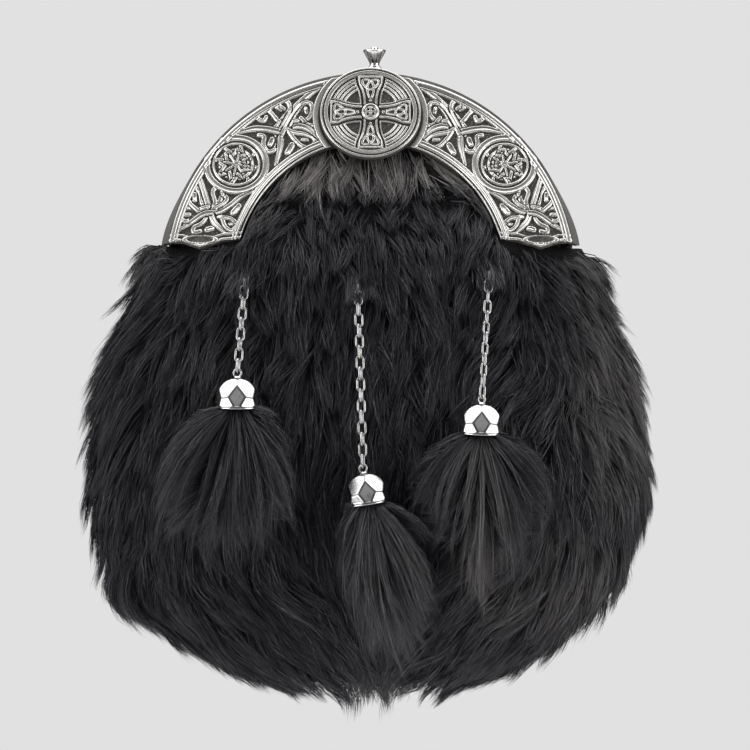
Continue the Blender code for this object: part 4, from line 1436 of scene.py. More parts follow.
@dataclass
class Pelt:
    """The pouch's fur: a dark pile, and long hair in locks that follow the lie of FLOW."""

    form: PeltForm
    guides: int = 6350
    locks: int = 1100
    steps: int = 9
    pieces: int = 3
    root_inset: float = 5.2
    brow_guides: int = 30
    strands: Strands = Strands()

    def roots(self, rng: Rng) -> Array:
        """Spots on the form where guide hairs start, spread evenly over what can be seen.

        Args:
            rng: Chance.

        Returns:
            Points.
        """
        heights = np.concatenate([np.linspace(21.5, -16.2, 90), np.linspace(-16.4, -173.0, 210)])
        rows = np.array([self.form.section(z, 161, 0.0) for z in heights])
        corner, across, down = rows[:-1, :-1], rows[:-1, 1:] - rows[:-1, :-1], rows[1:, :-1] - rows[:-1, :-1]
        area = np.linalg.norm(np.cross(across, down), axis=-1)
        middle = corner + (across + down) / 2
        x, z = middle[..., 0], middle[..., 2]
        hidden = (z > SHOULDER_Z) & (INNER_ARC.reach(x, z) > 0.6)
        weight = np.where(hidden, 0.0, area)
        weight *= np.where(z > SHOULDER_Z, 1.25, 1.0) * np.where(z < -150, 1.35, 1.0)
        picks = rng.choice(weight.size, self.guides, p=(weight / weight.sum()).ravel())
        a, b = rng.random((2, self.guides, 1))
        corner, across, down = (part.reshape(-1, 3)[picks] for part in (corner, across, down))
        return corner + a * across + b * down

    def inset(self, points: Array) -> Array:
        """How deep the hair is rooted: less in the arch, where the leather lies close behind."""
        z, deep = points[..., 2], self.root_inset
        return np.where(z > SHOULDER_Z, np.clip(np.interp(z, *PELT_LIFT) + 3.1, 2.4, deep), deep)

    def length(self, points: Array) -> Array:
        """How long the hair is.

        Args:
            points: Its roots.

        Returns:
            Lengths.
        """
        z = points[..., 2]
        arch = np.where(z > 3, np.clip(z + 3.5, 9, 24), 16.0)
        low = np.interp(z, (-178, -168, -155, -120, -60, -26, -18), (16, 15, 16, 19, 19, 17, 12))
        low = low * (1 - 0.25 * smooth(14, 34, np.abs(points[..., 0])) * smooth(-156, -170, z))
        return np.where(z > SHOULDER_Z, arch, low)

    def walk(self, roots: Array, length: Array, lean: Array, proud: Array) -> Array:
        """Walks guides over the form, rising from their roots to near its surface.

        Args:
            roots: Spots on the form.
            length: Each guide's length.
            lean: What is added to the hair's lie, in radians.
            proud: How far each tip ends outside the form.

        Returns:
            Paths, a row of points for each root.
        """
        start = self.inset(roots)
        _, normal = self.form.distance(roots)
        spot = roots - normal * start[:, None]
        path = [spot]
        for step in range(1, self.steps):
            angle = hair_lean(spot) + lean
            heading = np.stack([np.sin(angle), np.zeros_like(angle), -np.cos(angle)], axis=-1)
            _, normal = self.form.distance(spot)
            heading = unit(heading - (heading * normal).sum(-1, keepdims=True) * normal * 0.92)
            spot = spot + heading * (length / (self.steps - 1))[:, None]
            gap, normal = self.form.distance(spot)
            share = step / (self.steps - 1)
            wanted = -start + (start + proud) * share**0.75
            pull = np.where(gap < wanted, 0.85, np.where(spot[:, 2] < -172, 0.15, 0.6))
            spot = spot + normal * (pull * (wanted - gap))[:, None]
            spot = self.beside_cantle(spot)
            path.append(spot)
        return np.stack(path, axis=1)

    def beside_cantle(self, points: Array) -> Array:
        """Moves points that cross the cantle's inner edge back beside it.

        Args:
            points: Points.

        Returns:
            The points, moved.
        """
        x, z = points[..., 0], points[..., 2]
        reach = INNER_ARC.reach(x, z)
        crossing = (z > END_Z - 0.5) & (reach > -0.8) & (-points[..., 1] > -face_y(z) - 2.6)
        scale = np.where(crossing, (INNER_ARC.radius - 0.8) / (INNER_ARC.radius + reach), 1.0)
        moved = points.copy()
        moved[..., 0] = x * scale
        moved[..., 2] = INNER_ARC.z + (z - INNER_ARC.z) * scale
        return moved

    def comb(self, rng: Rng) -> tuple[Array, Array, Array]:
        """Grows the guides, and draws them together into locks.

        Args:
            rng: Chance.

        Returns:
            Guide paths, normals and tones.
        """
        roots = self.roots(rng)
        heads = roots[rng.choice(len(roots), self.locks, replace=False)]
        depth_gap = roots[:, None, 1] - heads[None, :, 1]
        gap = ((roots[:, None, ::2] - heads[None, :, ::2]) ** 2).sum(-1) + 0.4 * depth_gap**2
        lock = gap.argmin(1)
        lock_lean, lock_long = rng.normal(0, 0.24, self.locks), rng.normal(1.0, 0.16, self.locks)
        lock_proud = rng.normal(0.3, 1.1, self.locks) + np.where(rng.random(self.locks) < 0.12, 2.0, 0.0)
        lean = lock_lean[lock] + rng.normal(0, 0.17, len(roots))
        length = self.length(roots) * lock_long[lock] * rng.uniform(0.8, 1.12, len(roots))
        away = np.sqrt(gap.min(1))
        proud = lock_proud[lock] - 0.22 * np.minimum(away, 6) + rng.normal(0, 0.5, len(roots))
        paths = self.walk(roots, length, lean, proud)
        head_paths = self.walk(heads, self.length(heads) * lock_long * 1.05, lock_lean, lock_proud)
        share = np.linspace(0, 1, self.steps)[None, :, None] ** 1.4
        near = np.exp(-((away / 7.0) ** 2))[:, None, None]
        same = np.minimum(np.abs(roots[:, 2] - heads[lock, 2])[:, None, None] / 14.0, 1.0)
        paths = paths + (head_paths[lock] - paths) * share * 0.5 * near * (1 - 0.5 * same)
        paths = self.beside_cantle(paths)
        tone = brown_and_highlight(roots) * np.clip(rng.normal(1.0, 0.3, self.locks)[lock], 0.2, 1.6)
        brows = self.brows(rng)
        paths = np.concatenate([paths, brows])
        _, normals = self.form.distance(paths[:, self.steps // 2])
        return paths, normals, np.concatenate([tone, np.full(len(brows), 0.03)])

    def settled(self, points: Array) -> Array:
        """Moves fur outwards on the left, and up beside the cantle's ends, where it stands fuller.

        Args:
            points: Points.

        Returns:
            The points, moved.
        """
        x, z = points[..., 0], points[..., 2]
        side = np.abs(x)
        lift = np.where(x < 0, 4.8, 2.4) * smooth(69, 73, side) * smooth(-35, -21, z) * (z < SHOULDER_Z + 0.4)
        moved = points.copy()
        moved[..., 0] -= np.interp(z, *SWEEP) * smooth(55, 95, -x)
        ceiling = np.interp(side, (74, 75.5), (-15.8, -14.6))
        moved[..., 2] = np.where(lift > 0, np.minimum(z + lift, ceiling), z)
        return moved

    def brows(self, rng: Rng) -> Array:
        """Hair that falls over the chains' studs, so that the chains come out of the fur.

        Args:
            rng: Chance.

        Returns:
            Guide paths.
        """
        spots = []
        for run in RUNS:
            x = run.x_top + rng.normal(0, 1.9, self.brow_guides)
            z = run.z_top + rng.uniform(2.0, 9.0, self.brow_guides)
            spots.append(stacked(x, -self.form.front(x, z), z))
        roots = np.concatenate(spots)
        over = roots[:, 2] - np.repeat([run.z_top for run in RUNS], self.brow_guides)
        length = over + rng.uniform(0.5, 3.5, len(roots)) + 4
        return self.walk(roots, length, rng.normal(0, 0.16, len(roots)), rng.uniform(5.5, 8.5, len(roots)))

    def build(self, hair: Material, pile: Material, rng: Rng) -> None:
        """Makes the pile and the pieces of long hair.

        Args:
            hair: The long hair's finish.
            pile: The pile's finish.
            rng: Chance.
        """
        self.build_pile(pile, rng)
        guides, normals, tone = self.comb(rng)
        order = np.argsort(guides[:, 0, 0])
        for index, part in enumerate(np.array_split(order, self.pieces)):
            hairs = self.strands.grow(guides[part], normals[part], tone[part], rng)
            # painted shade: less painted highlight under the arch and on the left
            hairs.painted_sheen *= highlight_kept(hairs.paths[:, 0])
            hairs.paths = self.settled(self.beside_cantle(hairs.paths))
            hairs.paths[..., 1] = np.minimum(hairs.paths[..., 1], 1.5)
            points, faces, traits = self.strands.ribbons(hairs)
            Piece(f"fur_hair_{index + 1}", points, faces, Slot.FUR, ("fur_pelt",)).build(hair, **traits)

    def build_pile(self, material: Material, rng: Rng) -> None:
        """Makes the dark pile that the long hair grows from.

        Args:
            material: Its finish.
            rng: Chance.
        """
        heights = np.concatenate([np.linspace(26.0, -16.2, 26), np.linspace(-16.8, -168.0, 66)])
        columns = 92
        rows = []
        for z in heights:
            inset = float(self.inset(np.array((0.0, 0.0, z)))) + 0.35
            row = self.form.section(z, columns, inset)
            tuck = row[[0, -1]] * np.array((0.86, 1.0, 1.0)) - np.array((0.0, 0.9, 0.0))
            row[:, 1] = np.minimum(row[:, 1], -3.6)
            rows.append(np.concatenate([tuck[:1], row, tuck[1:]]))
        grid = np.array(rows)
        wide = columns + 2
        grid[:, 2:-2, 1] += 0.28 * rng.normal(0, 1.0, (len(heights), wide))[:, 2:-2]
        last = grid[-1].mean(0)
        for shrink in (0.75, 0.4, 0.05):
            foot = last + (grid[len(heights) - 1] - last) * shrink
            foot[:, 2] -= 1.2
            grid = np.concatenate([grid, foot[None]])
        faces = sheet_faces(len(grid), wide)
        Piece("fur_pile", self.settled(grid), [faces], Slot.FUR, ("fur_pelt",)).build(material)


# ---- chains, caps and tassels ----


@dataclass(frozen=True)
class ChainRun:
    """One chain with its cap and tassel."""

    side: str
    x_top: float
    z_top: float
    x_end: float
    z_end: float
    links: int
    turn: float
    cap_tilt: float
    bush: Pairs  # degrees from straight down, and how far the hair reaches there

    def turn_of(self, link: int) -> float:
        """How far a link is turned about the chain, in radians."""
        return math.radians((72 if link % 2 == 0 else 8) + self.turn * min((link - 1) / 4, 1.0))

    def reach(self, turn: Array | float) -> Array:
        """How far the tassel's hair reaches at degrees from straight down."""
        return np.interp(turn, *np.array(self.bush).T)

    @property
    def span(self) -> tuple[float, float]:
        """The bush's first and last angle."""
        return self.bush[0][0], self.bush[-1][0]

    def cap_axes(self) -> Two:
        """The tilted cap's directions to the right and up."""
        tilt = math.radians(self.cap_tilt)
        return np.array((math.cos(tilt), 0, math.sin(tilt))), np.array((-math.sin(tilt), 0, math.cos(tilt)))


RUNS = (
    ChainRun("left", -43.6, -30.0, -45.9, -62.0, 8, 0, 0.0, (
        (-84, 13), (-68, 21), (-54, 31), (-45, 43), (-33, 49), (-24, 53), (0, 54), (17, 51), (24, 45), (33, 37),
        (47, 27), (64, 18.5), (80, 13))),
    ChainRun("middle", -4.3, -32.0, -2.4, -97.0, 16, 0, 9.0, (
        (-80, 5), (-66, 8), (-35, 18), (-15, 31.5), (-6, 43), (1, 51.5), (10, 55), (18, 54), (27, 48), (39, 39),
        (54, 25), (80, 12))),
    ChainRun("right", 41.1, -27.5, 38.1, -74.0, 11, 40, -2.0, (
        (-80, 10), (-76, 17), (-62, 27), (-55, 31.5), (-51, 35.5), (-26, 40), (-15, 48), (-8, 54.5), (0, 59), (9, 55),
        (19, 49), (27, 40), (55, 31.5), (63, 27), (77, 18), (85, 9))),
)


@dataclass
class Chain:
    """Interlocked oval links of round wire, from a stud's eye down to a cap's bail."""

    run: ChainRun
    wire: float = 0.43
    bend: float = 1.22
    straight: float = 1.1
    pitch: float = 3.8
    near_end: float = 1.49
    eye: float = 1.9
    eye_wire: float = 0.6
    shank: float = 1.0
    bail: float = 1.7
    bail_wire: float = 0.55
    off: tuple[float, float] = (3.2, 9.0)  # how far off the pelt the chain hangs, at its top and its end

    def line(self) -> Array:
        """Centres of the eye, the links and the bail, as the solids have them.

        Returns:
            Points.
        """
        run, spots, z = self.run, [], self.run.z_top
        while len(spots) < run.links + 2:
            share = (run.z_top - z) / (run.z_top - run.z_end)
            ease = min(max(share, 0.0), 1.0)
            off = self.off[0] + (self.off[1] - self.off[0]) * ease * ease * (3 - 2 * ease)
            x = run.x_top + (run.x_end - run.x_top) * share
            spot = np.array((x, -front_of(section_at(z), x) - off, z))
            if len(spots) < 2:
                reach = self.near_end + self.eye - self.eye_wire
            else:
                reach = self.pitch if len(spots) <= run.links else self.near_end + self.bail - self.bail_wire
            if not spots or np.linalg.norm(spot - spots[-1]) >= reach:
                spots.append(spot)
            z -= 0.02
        return np.array(spots)

    def link(self, centre: Array, along: Array, across: Array) -> Mesh:
        """One oval link.

        Args:
            centre: Its centre.
            along: The chain's direction.
            across: The direction of its width.

        Returns:
            Points and quads.
        """
        turns = circle(20) + math.tau / 40
        out = np.cos(turns)[:, None] * across + np.sin(turns)[:, None] * along
        ends = np.sign(np.sin(turns))[:, None] * along * self.straight
        return tube(centre + out * self.bend + ends, self.wire, 9, True, np.cross(along, across))

    def build(self, material: Material, dull: Material) -> Array:
        """Makes the links and the stud with its eye.

        Args:
            material: The links' finish.
            dull: The stud's finish, painted near black as shade.

        Returns:
            The centre of the cap's bail.
        """
        line = self.line()
        parts = []
        for i in range(1, self.run.links + 1):
            along = unit(line[i - 1] - line[i + 1])
            flat = unit(SIDEWAYS - along * (SIDEWAYS @ along))
            turn = self.run.turn_of(i)
            across = flat * math.cos(turn) + np.cross(along, flat) * math.sin(turn)
            parts.append(self.link(line[i], along, across))
        points, faces = joined(parts)
        name = f"chain_{self.run.side}"
        Piece(f"{name}_links", points, [faces], Slot.BRIGHT, (name,)).build(material)
        eye = line[0]
        turns = circle(32)[:, None]
        ring = eye + self.eye * (np.sin(turns) * UP - np.cos(turns) * BACKWARD)
        shank = np.linspace(eye + BACKWARD * (self.eye + 0.1), eye + BACKWARD * 10.0, 6)
        parts = [tube(ring, self.eye_wire, 12, True, SIDEWAYS), tube(shank, self.shank, 12, False, SIDEWAYS)]
        points, faces = joined(parts)
        stud = f"chain_stud_{self.run.side}"
        Piece(f"{stud}_eye", points, [faces], Slot.BRIGHT, (stud,)).build(dull)
        return line[-1]


@dataclass
class Cap:
    """A plated dome over the tassel's head, cut in diamond facets, with its lip and its bail."""

    run: ChainRun
    bail: Array
    heart: float = -10.6  # the dome's centre, below the bail
    size: tuple[float, float] = (7.9, 9.2)
    edge: float = 90.0  # how crisp the edges between facets are
    swell: float = 0.1  # how much each facet swells
    steps: int = 120
    # The seam lines are painted shade along the edges between facets.
    seam: float = 0.034  # how wide the black line between facets is
    lip: Pairs = (
        (7.5, -11.55), (7.72, -11.64), (7.88, -11.8), (7.95, -12), (7.95, -12.2), (7.88, -12.42), (7.65, -12.57),
        (7.2, -12.62), (6.25, -12.6), (6.1, -10),
    )
    collar: Pairs = ((0.02, -0.95), (1.1, -1), (1.35, -1.12), (1.5, -1.45))
    bail_ring: tuple[float, float] = (1.35, 0.42)  # the bail's radius and its wire's

    def facets(self) -> Two:
        """The facets: front and back diamonds, and rows of four around them.

        Returns:
            Their normals and distances.
        """
        rows = [(90.0, -2.0, 0.938), (270.0, -2.0, 0.938)]
        for turn, rise, far in ((0.0, 20.0, 0.888), (68.0, 10.0, 0.925), (36.0, 39.0, 0.87), (31.0, -2.0, 0.92)):
            rows += [(spot, rise, far) for spot in sorted({turn, (360 - turn) % 360, 180 - turn, 180 + turn})]
        turn, rise, far = np.array(rows).T
        turn, rise = np.radians(turn), np.radians(rise)
        return stacked(np.cos(rise) * np.sin(turn), -np.cos(rise) * np.cos(turn), np.sin(rise)), far

    def build(self, material: Material, steel: Material) -> None:
        """Makes the cap.

        Args:
            material: Its finish.
            steel: The bail's finish.
        """
        turns = circle(self.steps)
        around = stacked(np.sin(turns), -np.cos(turns), 0.0)
        rows = [around * reach + UP * height for reach, height in self.collar]
        # painted shade: the collar is painted partly black
        seams = [np.full(self.steps, 0.3) for _ in self.collar]
        normals, far = self.facets()
        wide, high = self.size
        for rise in np.radians(np.linspace(76, -6.0, 40)):
            ray = around * math.cos(rise) + UP * math.sin(rise)
            facing = np.maximum(ray @ normals.T, 0.05)
            two = np.sort(far / facing, axis=-1)[:, :2]
            # painted shade: a black line along each edge between two facets
            seams.append(np.exp(-(((two[:, 1] - two[:, 0]) / self.seam) ** 2)) * (two[:, 0] < 1.02))
            reach = (((far / facing) ** -self.edge).sum(-1) + 1) ** (-1 / self.edge)
            reach += (1 - reach) * self.swell
            rows.append(ray * reach[:, None] * np.array((wide, wide, high)) + UP * self.heart)
        rows += [around * reach + UP * height for reach, height in self.lip]
        # painted shade: the lip is painted almost black, save a lighter band at its outer edge
        seams += [np.full(self.steps, 0.25 if i in (3, 4) else 0.9) for i in range(len(self.lip))]
        points = np.concatenate(rows)
        right, upward = self.run.cap_axes()
        points = self.bail + points[:, :1] * right + points[:, 1:2] * BACKWARD + points[:, 2:] * upward
        turn = self.run.turn_of(self.run.links) + math.pi / 2
        across = SIDEWAYS * math.cos(turn) + BACKWARD * math.sin(turn)
        steps = circle(36)[:, None]
        radius, wire = self.bail_ring
        ring = self.bail + radius * (np.cos(steps) * across + np.sin(steps) * UP)
        ring, ring_faces = tube(ring, wire, 10, True, np.cross(across, UP))
        name = f"tassel_cap_{self.run.side}"
        Piece(f"{name}_bail", ring, [ring_faces], Slot.BRIGHT, (name,)).build(steel)
        faces = sheet_faces(len(rows), self.steps, closed=True)
        Piece(f"{name}_facets", points, [faces], Slot.BRIGHT, (name,)).build(material, seam=np.array(seams))


@dataclass
class Tassel:
    """A bush of long hair that fans out from under its cap and ends in staggered points."""

    run: ChainRun
    bail: Array
    guides: int = 690
    locks: int = 60
    steps: int = 12
    lip: float = -12.6  # the cap's lip, below the bail
    neck: float = 5.9
    front: float = 15.5
    back: float = 7.0
    strands: Strands = Strands(per_guide=11, width=0.28, spread=0.6, gather=0.45, curl=0.7)

    def foot(self) -> Array:
        """The middle of the cap's lip."""
        return self.bail + self.lip * self.run.cap_axes()[1]

    def fan(self, rng: Rng) -> tuple[Array, Array, Array, Array]:
        """Chooses where hairs head and how far they reach, lock by lock.

        Args:
            rng: Chance.

        Returns:
            Angles from straight down, shares of the depth, lengths, and which lock each hair is in.
        """
        angles = np.linspace(*self.run.span, 200)
        chance = np.cumsum(self.run.reach(angles) ** 1.05)

        def draw(count: int) -> Two:
            """Angles and shares of the depth for count hairs."""
            turn = np.interp(rng.random(count), chance / chance[-1], angles)
            return turn, np.sin(rng.uniform(-0.5, 0.5, count) * math.pi)

        heads, head_depth = draw(self.locks)
        turn, depth = draw(self.guides)
        gap = ((turn[:, None] - heads) / 16) ** 2 + ((depth[:, None] - head_depth) / 0.5) ** 2
        lock = gap.argmin(1)
        pull = rng.uniform(0.25, 0.8, self.locks)[lock]
        turn = turn + (heads[lock] - turn) * pull + rng.normal(0, 2.6, self.guides)
        depth = np.clip(depth + (head_depth[lock] - depth) * pull * 0.7, -1, 1)
        turn = np.clip(turn, *self.run.span)
        full = self.run.reach(turn)
        long = rng.uniform(0.92, 1.1, self.locks)[lock] * rng.uniform(0.92, 1.08, self.guides)
        short = np.sqrt(rng.random(self.guides)) * 0.62 + 0.3
        inner = rng.random(self.guides) < 0.42
        return turn, depth, full * np.where(inner, short, long), lock

    def build(self, hair: Material, pile: Material, rng: Rng) -> None:
        """Makes the tassel's hair and the dark core inside it.

        Args:
            hair: The hair's finish.
            pile: The core's finish.
            rng: Chance.
        """
        turn, depth, length, lock = self.fan(rng)
        turns, reach = np.array(self.run.bush).T
        middle = np.radians((turns * reach).sum() / reach.sum())
        core = self.run.reach(np.degrees(middle)) * 0.55
        down = rng.random(self.guides) ** 2.2 * core
        aim = np.radians(turn)
        full = np.sqrt(np.clip(1 - (turn / 88) ** 2, 0.05, 1)) * np.clip(length / 30, 0.3, 1)
        room = np.where(depth > 0, self.front, self.back)
        ring = self.neck * (1 - 0.35 * down / core)
        start = stacked(
            np.sin(middle) * down + ring * np.clip(turn / 70, -1, 1), -ring * depth * 0.8, 0.6 - np.cos(middle) * down
        )
        tip = stacked(np.sin(aim) * length, -depth * room * full, -np.cos(aim) * length)
        tip[:, 2] = np.minimum(tip[:, 2], start[:, 2] - 2.0)
        gap = np.linalg.norm(tip - start, axis=-1, keepdims=True)
        early = turn * 1.35 + rng.normal(0, 9, self.guides) + rng.normal(0, 14, self.locks)[lock]
        early = np.radians(np.clip(early, -84, 84))
        bend = start + gap * 0.5 * stacked(np.sin(early), -depth * 0.75, -np.cos(early))
        share = np.linspace(0, 1, self.steps)[None, :, None]
        guides = start[:, None] * (1 - share) ** 2 + 2 * bend[:, None] * share * (1 - share) + tip[:, None] * share**2
        sway = np.cumsum(rng.normal(0, 0.22, (self.guides, self.steps, 3)), axis=1)
        guides = self.foot() + guides + sway * share
        outward = stacked(np.sin(np.radians(turn)) * 0.5, -np.sign(depth) * (0.3 + np.abs(depth)), 0.15)
        normals = unit(outward)
        hairs = self.strands.grow(guides, normals, self.tone(guides, rng), rng)
        points, faces, traits = self.strands.ribbons(hairs)
        name = f"tassel_{self.run.side}"
        Piece(f"{name}_hair", points, faces, Slot.FUR, (name,)).build(hair, **traits)
        self.build_core(pile)

    def tone(self, guides: Array, rng: Rng) -> Array:
        """How brown-grey each hair is, partly real brown and partly painted highlight: low down in the middle tassel,
        low in the right one's middle, and near the top of the left one.

        Args:
            guides: Guide paths.
            rng: Chance.

        Returns:
            Shares from 0 to 1.
        """
        tip = guides[:, -1] - self.foot()
        low = smooth(14, 36, -tip[:, 2])
        if self.run.side == "middle":
            tone = 0.17 * low
        elif self.run.side == "right":
            tone = 0.5 * low * np.exp(-((tip[:, 0] / 12) ** 2))
        else:
            tone = 0.04 + 0.17 * (1 - smooth(4, 14, -tip[:, 2]))
        return tone * rng.uniform(0.4, 1.3, len(tone)) + 0.035

    def build_core(self, pile: Material) -> None:
        """Makes the dark form inside the tassel, a smaller copy of its outline.

        Args:
            pile: Its finish.
        """
        turns = np.linspace(*self.run.span, 40)
        reach = self.run.reach(turns)
        outline = stacked(reach * np.sin(np.radians(turns)), 0.0, -reach * np.cos(np.radians(turns)))
        heart = outline.mean(0) * np.array((1.0, 0.0, 0.72))
        rows = []
        for depth in np.sin(np.linspace(-0.5, 0.5, 15) * math.pi):
            inner = 0.62 * math.sqrt(max(1 - depth * depth, 0.0004))
            room = 0.6 * depth * (self.front if depth > 0 else self.back)
            rows.append(heart + (outline - heart) * inner - np.array((0.0, room, 0.0)))
        points = self.foot() + np.array(rows)
        name = f"tassel_{self.run.side}"
        faces = sheet_faces(len(rows), len(turns), closed=True)
        Piece(f"{name}_core", points, [faces], Slot.FUR, (name,)).build(pile)


@dataclass(frozen=True)
class Finial:
    """The turned thistle-shaped knob on top."""

    seat: Spot = (1.4, -6.6, 46.9)
    profile: Pairs = (
        (0.9, -2.5), (0.9, 0), (2.6, 0), (2.6, 0.7), (1.7, 1.4), (1.7, 2.3), (2.5, 3.9), (3.9, 6.3), (4.1, 7),
        (3.3, 7.3), (1.3, 6.9), (1.3, 8.1), (0, 8.1),
    )

    def build(self, material: Material) -> None:
        """Makes the finial."""
        points, faces = lathe(rounded(self.profile), 56, np.array(self.seat), UP)
        Piece("finial_turned", points, [faces], Slot.BRIGHT, ("finial",)).build(material)


# ---- leather back ----


def run_of(path: Array) -> Array:
    """How far along a path each of its points lies."""
    return np.concatenate([[0], np.cumsum(np.linalg.norm(np.diff(path, axis=0), axis=1))])


def spots_at(path: Array, stops: Array) -> Array:
    """The spots that lie at distances along a path."""
    return stacked(*(np.interp(stops, run_of(path), line) for line in path.T))


@dataclass(frozen=True)
class Stitching:
    """Rows of raised stitches in the leather behind."""

    length: float = 2.5
    gap: float = 1.1
    thread: float = 0.34
    height: float = 0.26
    sunk: float = 0.06

    def run(self, path: Array, normal: Array) -> list[Mesh]:
        """Stitches along a path that lies on the leather.

        Args:
            path: The seam's points.
            normal: The leather's outward normal.

        Returns:
            A small tube for each stitch.
        """
        arch = np.sin(np.linspace(0, math.pi, 5))[:, None] * self.height - self.sunk
        stitches = []
        for start in np.arange(0.5, run_of(path)[-1] - self.length, self.length + self.gap):
            points = spots_at(path, start + self.length * np.linspace(0, 1, 5))
            stitches.append(tube(points + normal * arch, self.thread, 6, False, normal))
        return stitches


@dataclass
class LeatherBack:
    """The back panel with its mouth, and the stitching of the panel, the flap and the belt loops."""

    stitching: Stitching = Stitching()
    side: Pairs = (  # z and half the width, down the side
        (-15, 72.6), (-20, 70.4), (-28, 72.2), (-44, 78.2), (-62, 84.2), (-82, 87.7), (-102, 88),
        (-120, 83.8), (-136, 75.2), (-149, 62.8), (-159, 47), (-165, 29), (-167, 12),
    )
    edge_points: int = 320
    mouth: Spot = (46.5, 7.5, -33.5)  # half its straight run, half its height, and its middle
    seam_inset: float = 3.4
    section: Pairs = (  # inset from the edge, and y
        (2.6, 0.0), (1.5, 0.0), (0.45, -0.14), (0.0, -0.7), (0.0, -1.8), (0.45, -2.36), (1.5, -2.5), (2.6, -2.5),
    )
    mouth_section: Pairs = ((1.6, -2.5), (0.7, -2.5), (0.0, -2.0), (0.0, -0.5), (0.7, 0.0), (1.6, 0.0))
    outer_y: float = 2.3  # the face of the flap and of the loops' feet

    def outline(self, inset: float) -> Array:
        """The panel's edge, as x and z.

        Args:
            inset: How far it is drawn in.

        Returns:
            Points of a loop.
        """
        start = REAR_ARC.start
        arc = stacked(*REAR_ARC.at(np.linspace(start, math.pi - start, 90)))
        left = np.array([(-x, z) for z, x in self.side])
        loop = np.concatenate([arc, left, left[::-1] * (-1, 1), arc[:1]])
        even = spots_at(loop, np.linspace(0, run_of(loop)[-1], self.edge_points, endpoint=False))
        soften = np.hanning(11)[1:-1] / np.hanning(11).sum()
        loop = stacked(*(np.convolve(np.pad(values, 4, "wrap"), soften, "valid") for values in even.T))
        ahead = unit(np.roll(loop, -1, 0) - np.roll(loop, 1, 0))
        return loop - stacked(ahead[:, 1], -ahead[:, 0]) * inset

    def slot(self, loop: Array, grow: float) -> Array:
        """The mouth's edge, at the bearings of the panel's edge.

        Args:
            loop: The panel's edge.
            grow: How far the mouth is let out.

        Returns:
            Points of a loop.
        """
        straight, half, middle = self.mouth
        half += grow
        way = unit(loop - (0.0, middle))
        across, rise = np.abs(way).T
        flat = half / np.maximum(rise, 1e-6)
        curved = straight * across + np.sqrt(np.maximum(half**2 - (straight * rise) ** 2, 0))
        return (0.0, middle) + way * np.where(flat * across < straight, flat, curved)[:, None]

    def build_panel(self, leather: Material) -> None:
        """Makes the panel, one ring of leather round the mouth.

        Args:
            leather: Its finish.
        """
        loop = self.outline(0.0)
        rows = [(self.outline(inset), y) for inset, y in self.section]
        rows += [(self.slot(loop, grow), y) for grow, y in self.mouth_section]
        points = np.array([stacked(flat[:, 0], y, flat[:, 1]) for flat, y in rows])
        faces = sheet_faces(len(rows) + 1, len(loop), closed=True) % (len(rows) * len(loop))
        Piece("back_panel_leather", points, [faces], Slot.LEATHER, ("back_panel",)).build(leather)

    def seams(self) -> list[Array]:
        """The panel's seam inside its edge, then the flap's two, then the loops' eight.

        Returns:
            Paths.
        """
        flat = self.outline(self.seam_inset)
        flat = np.concatenate([flat, flat[:1]])
        rows = [(0.0, 58.0, z, 60) for z in (-20.2, -22.6)]
        rows += [(x, 6.5, z, 12) for x in (-44.0, 44.0) for z in (15.6, 13.2, -13.2, -15.6)]
        straight = [stacked(np.linspace(x - half, x + half, count), self.outer_y, z) for x, half, z, count in rows]
        return [stacked(flat[:, 0], 0.02, flat[:, 1]), *straight]

    def build(self, thread: Material) -> None:
        """Makes all the stitches as one piece."""
        points, faces = joined([stitch for seam in self.seams() for stitch in self.stitching.run(seam, BACKWARD)])
        Piece("back_stitching", points, [faces], Slot.LEATHER).build(thread)


def dress(nodes: tuple[str, ...], material: Material, bevel: float) -> None:
    """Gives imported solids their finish, and eases their edges.

    Args:
        nodes: The solids' names.
        material: Their finish.
        bevel: The width of the eased edges, in millimetres.
    """
    for name in nodes:
        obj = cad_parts[name]
        obj.data.materials.clear()
        obj.data.materials.append(material)
        modifier = obj.modifiers.new("Eased edges", "BEVEL")
        modifier.width = bevel * MM
        modifier.segments = 2
        modifier.limit_method = "ANGLE"
        modifier.angle_limit = math.radians(20)
        LOG.info("%s: dressed", name)


# ---- studio ----


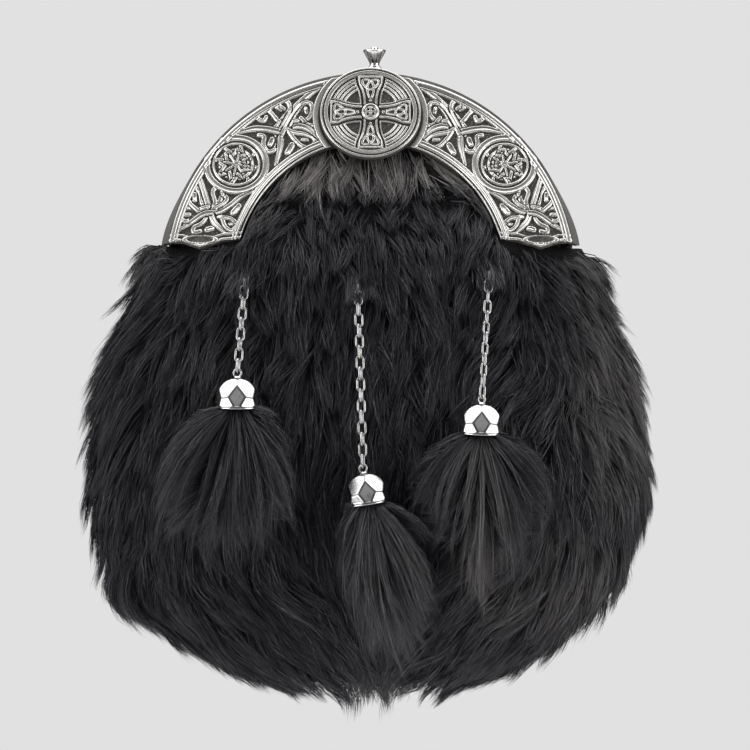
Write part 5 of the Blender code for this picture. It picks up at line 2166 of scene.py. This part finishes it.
@dataclass(frozen=True)
class Studio:
    """Camera, soft lights, pale world and floor."""

    centre: tuple[float, float] = (1.575, -61.25)
    plane_y: float = -30.0
    view_width: float = 262.5
    distance: float = 1800.0
    backdrop: float = 0.753
    ambient: tuple[float, float] = (0.17, 0.6)  # the world's light from low and from high
    floor_z: float = -300.0
    target: Spot = (0.0, -30.0, -55.0)
    lights: tuple[tuple, ...] = (  # name, place, side and watts
        ("key", (-1050, -600, 210), 1000, 10.2),
        ("fill", (1080, -620, 150), 1000, 9.6),
        ("top", (0, 120, 1080), 1400, 13.5),
        ("upper_left", (-850, 60, 930), 900, 4.4),
        ("upper_right", (850, 60, 930), 900, 4.4),
    )

    def build(self) -> None:
        """Sets up the whole studio."""
        self.camera()
        self.world()
        for light in self.lights:
            self.light(*light)
        self.floor()
        bpy.context.scene.view_settings.view_transform = "Standard"

    def camera(self) -> None:
        """A long lens, level and straight on."""
        data = bpy.data.cameras.new("camera")
        data.sensor_width = 36.0
        data.lens = 36.0 * self.distance / self.view_width
        data.clip_end = 50.0
        camera = placed("camera", data)
        camera.location = (self.centre[0] * MM, (self.plane_y - self.distance) * MM, self.centre[1] * MM)
        camera.rotation_euler = (math.pi / 2, 0, 0)
        bpy.context.scene.camera = camera

    def world(self) -> None:
        """A pale backdrop that lights the object more softly than it shows."""
        world = bpy.data.worlds.new("studio")
        world.use_nodes = True
        world.node_tree.nodes.clear()
        sky = Nodes(world.node_tree)
        shown = sky.node("Background", {"Color": (self.backdrop,) * 3}).outputs[0]
        ray = sky.node("TexCoord").outputs["Generated"]
        rise = sky.node("SeparateXYZ", {0: ray}).outputs["Z"]
        lit = sky.node("Background", {"Strength": sky.ranged(rise, 0.3, 0.95, self.ambient)}).outputs[0]
        seen = sky.node("LightPath").outputs["Is Camera Ray"]
        mixed = sky.node("MixShader", {0: seen, 1: lit, 2: shown}).outputs[0]
        sky.node("OutputWorld", {"Surface": mixed})
        bpy.context.scene.world = world

    def light(self, name: str, spot: Spot, size: float, power: float) -> None:
        """A square soft light aimed at the object.

        Args:
            name: Its name.
            spot: Its place.
            size: Its side.
            power: Its power in watts.
        """
        data = bpy.data.lights.new(name, "AREA")
        data.size = size * MM
        data.energy = power
        light = placed(name, data)
        away = unit(np.array(spot) - np.array(self.target))
        light.location = tuple(np.array(spot) * MM)
        light.rotation_euler = (math.acos(away[2]), 0, math.atan2(away[0], -away[1]))

    def floor(self) -> None:
        """A pale disc below the object."""
        turns = circle(96)
        rings = np.array((5.0, 300.0, 620.0, 850.0, 1000.0))[:, None]
        points = stacked(rings * np.cos(turns), rings * np.sin(turns), 0.0)
        mesh = bpy.data.meshes.new("floor")
        faces = sheet_faces(len(rings), len(turns), closed=True)
        mesh.from_pydata((points.reshape(-1, 3) * MM).tolist(), [], faces.tolist() + [list(range(len(turns)))[::-1]])
        mesh.materials.append(StudioFloor().make())
        floor = placed("floor", mesh)
        floor.location = (0.0, 0.0, self.floor_z * MM)


def main() -> None:
    """Builds and dresses the sporran piece by piece."""
    logging.basicConfig(level=logging.INFO, format="%(message)s")
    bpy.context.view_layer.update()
    rng = np.random.default_rng(7)
    silver, bright = AntiqueSilver().make(), BrightPlate().make()
    steel = BrightPlate("chain_plate_worn", (0.45, 0.45, 0.45), (0.24, 0.23, 0.22), 0.16).make()
    # The stud's plating is painted near black, as shade, so that it shows no glint among the fur.
    dull = BrightPlate("stud_plate_painted_shade", (0.09, 0.09, 0.09), (0.04, 0.04, 0.04), 0.4).make()
    leather, thread = BlackLeather().make(), WaxedThread().make()
    hair, pile = Hair().make(), Underfur().make()
    Studio().build()
    dress(("pouch_body",), leather, 0.45)
    dress(("mouth_flap", "belt_loop_left", "belt_loop_right"), leather, 0.8)
    Cantle().build(silver)
    Roundel().build(silver)
    Finial().build(bright)
    form = PeltForm()
    for run in RUNS:
        bail = Chain(run).build(steel, dull)
        Cap(run, bail).build(bright, steel)
        Tassel(run, bail).build(hair, pile, rng)
    Pelt(form).build(hair, pile, rng)
    back = LeatherBack()
    back.build_panel(leather)
    back.build(thread)
    bpy.context.view_layer.update()


if __name__ == "__main__":
    main()
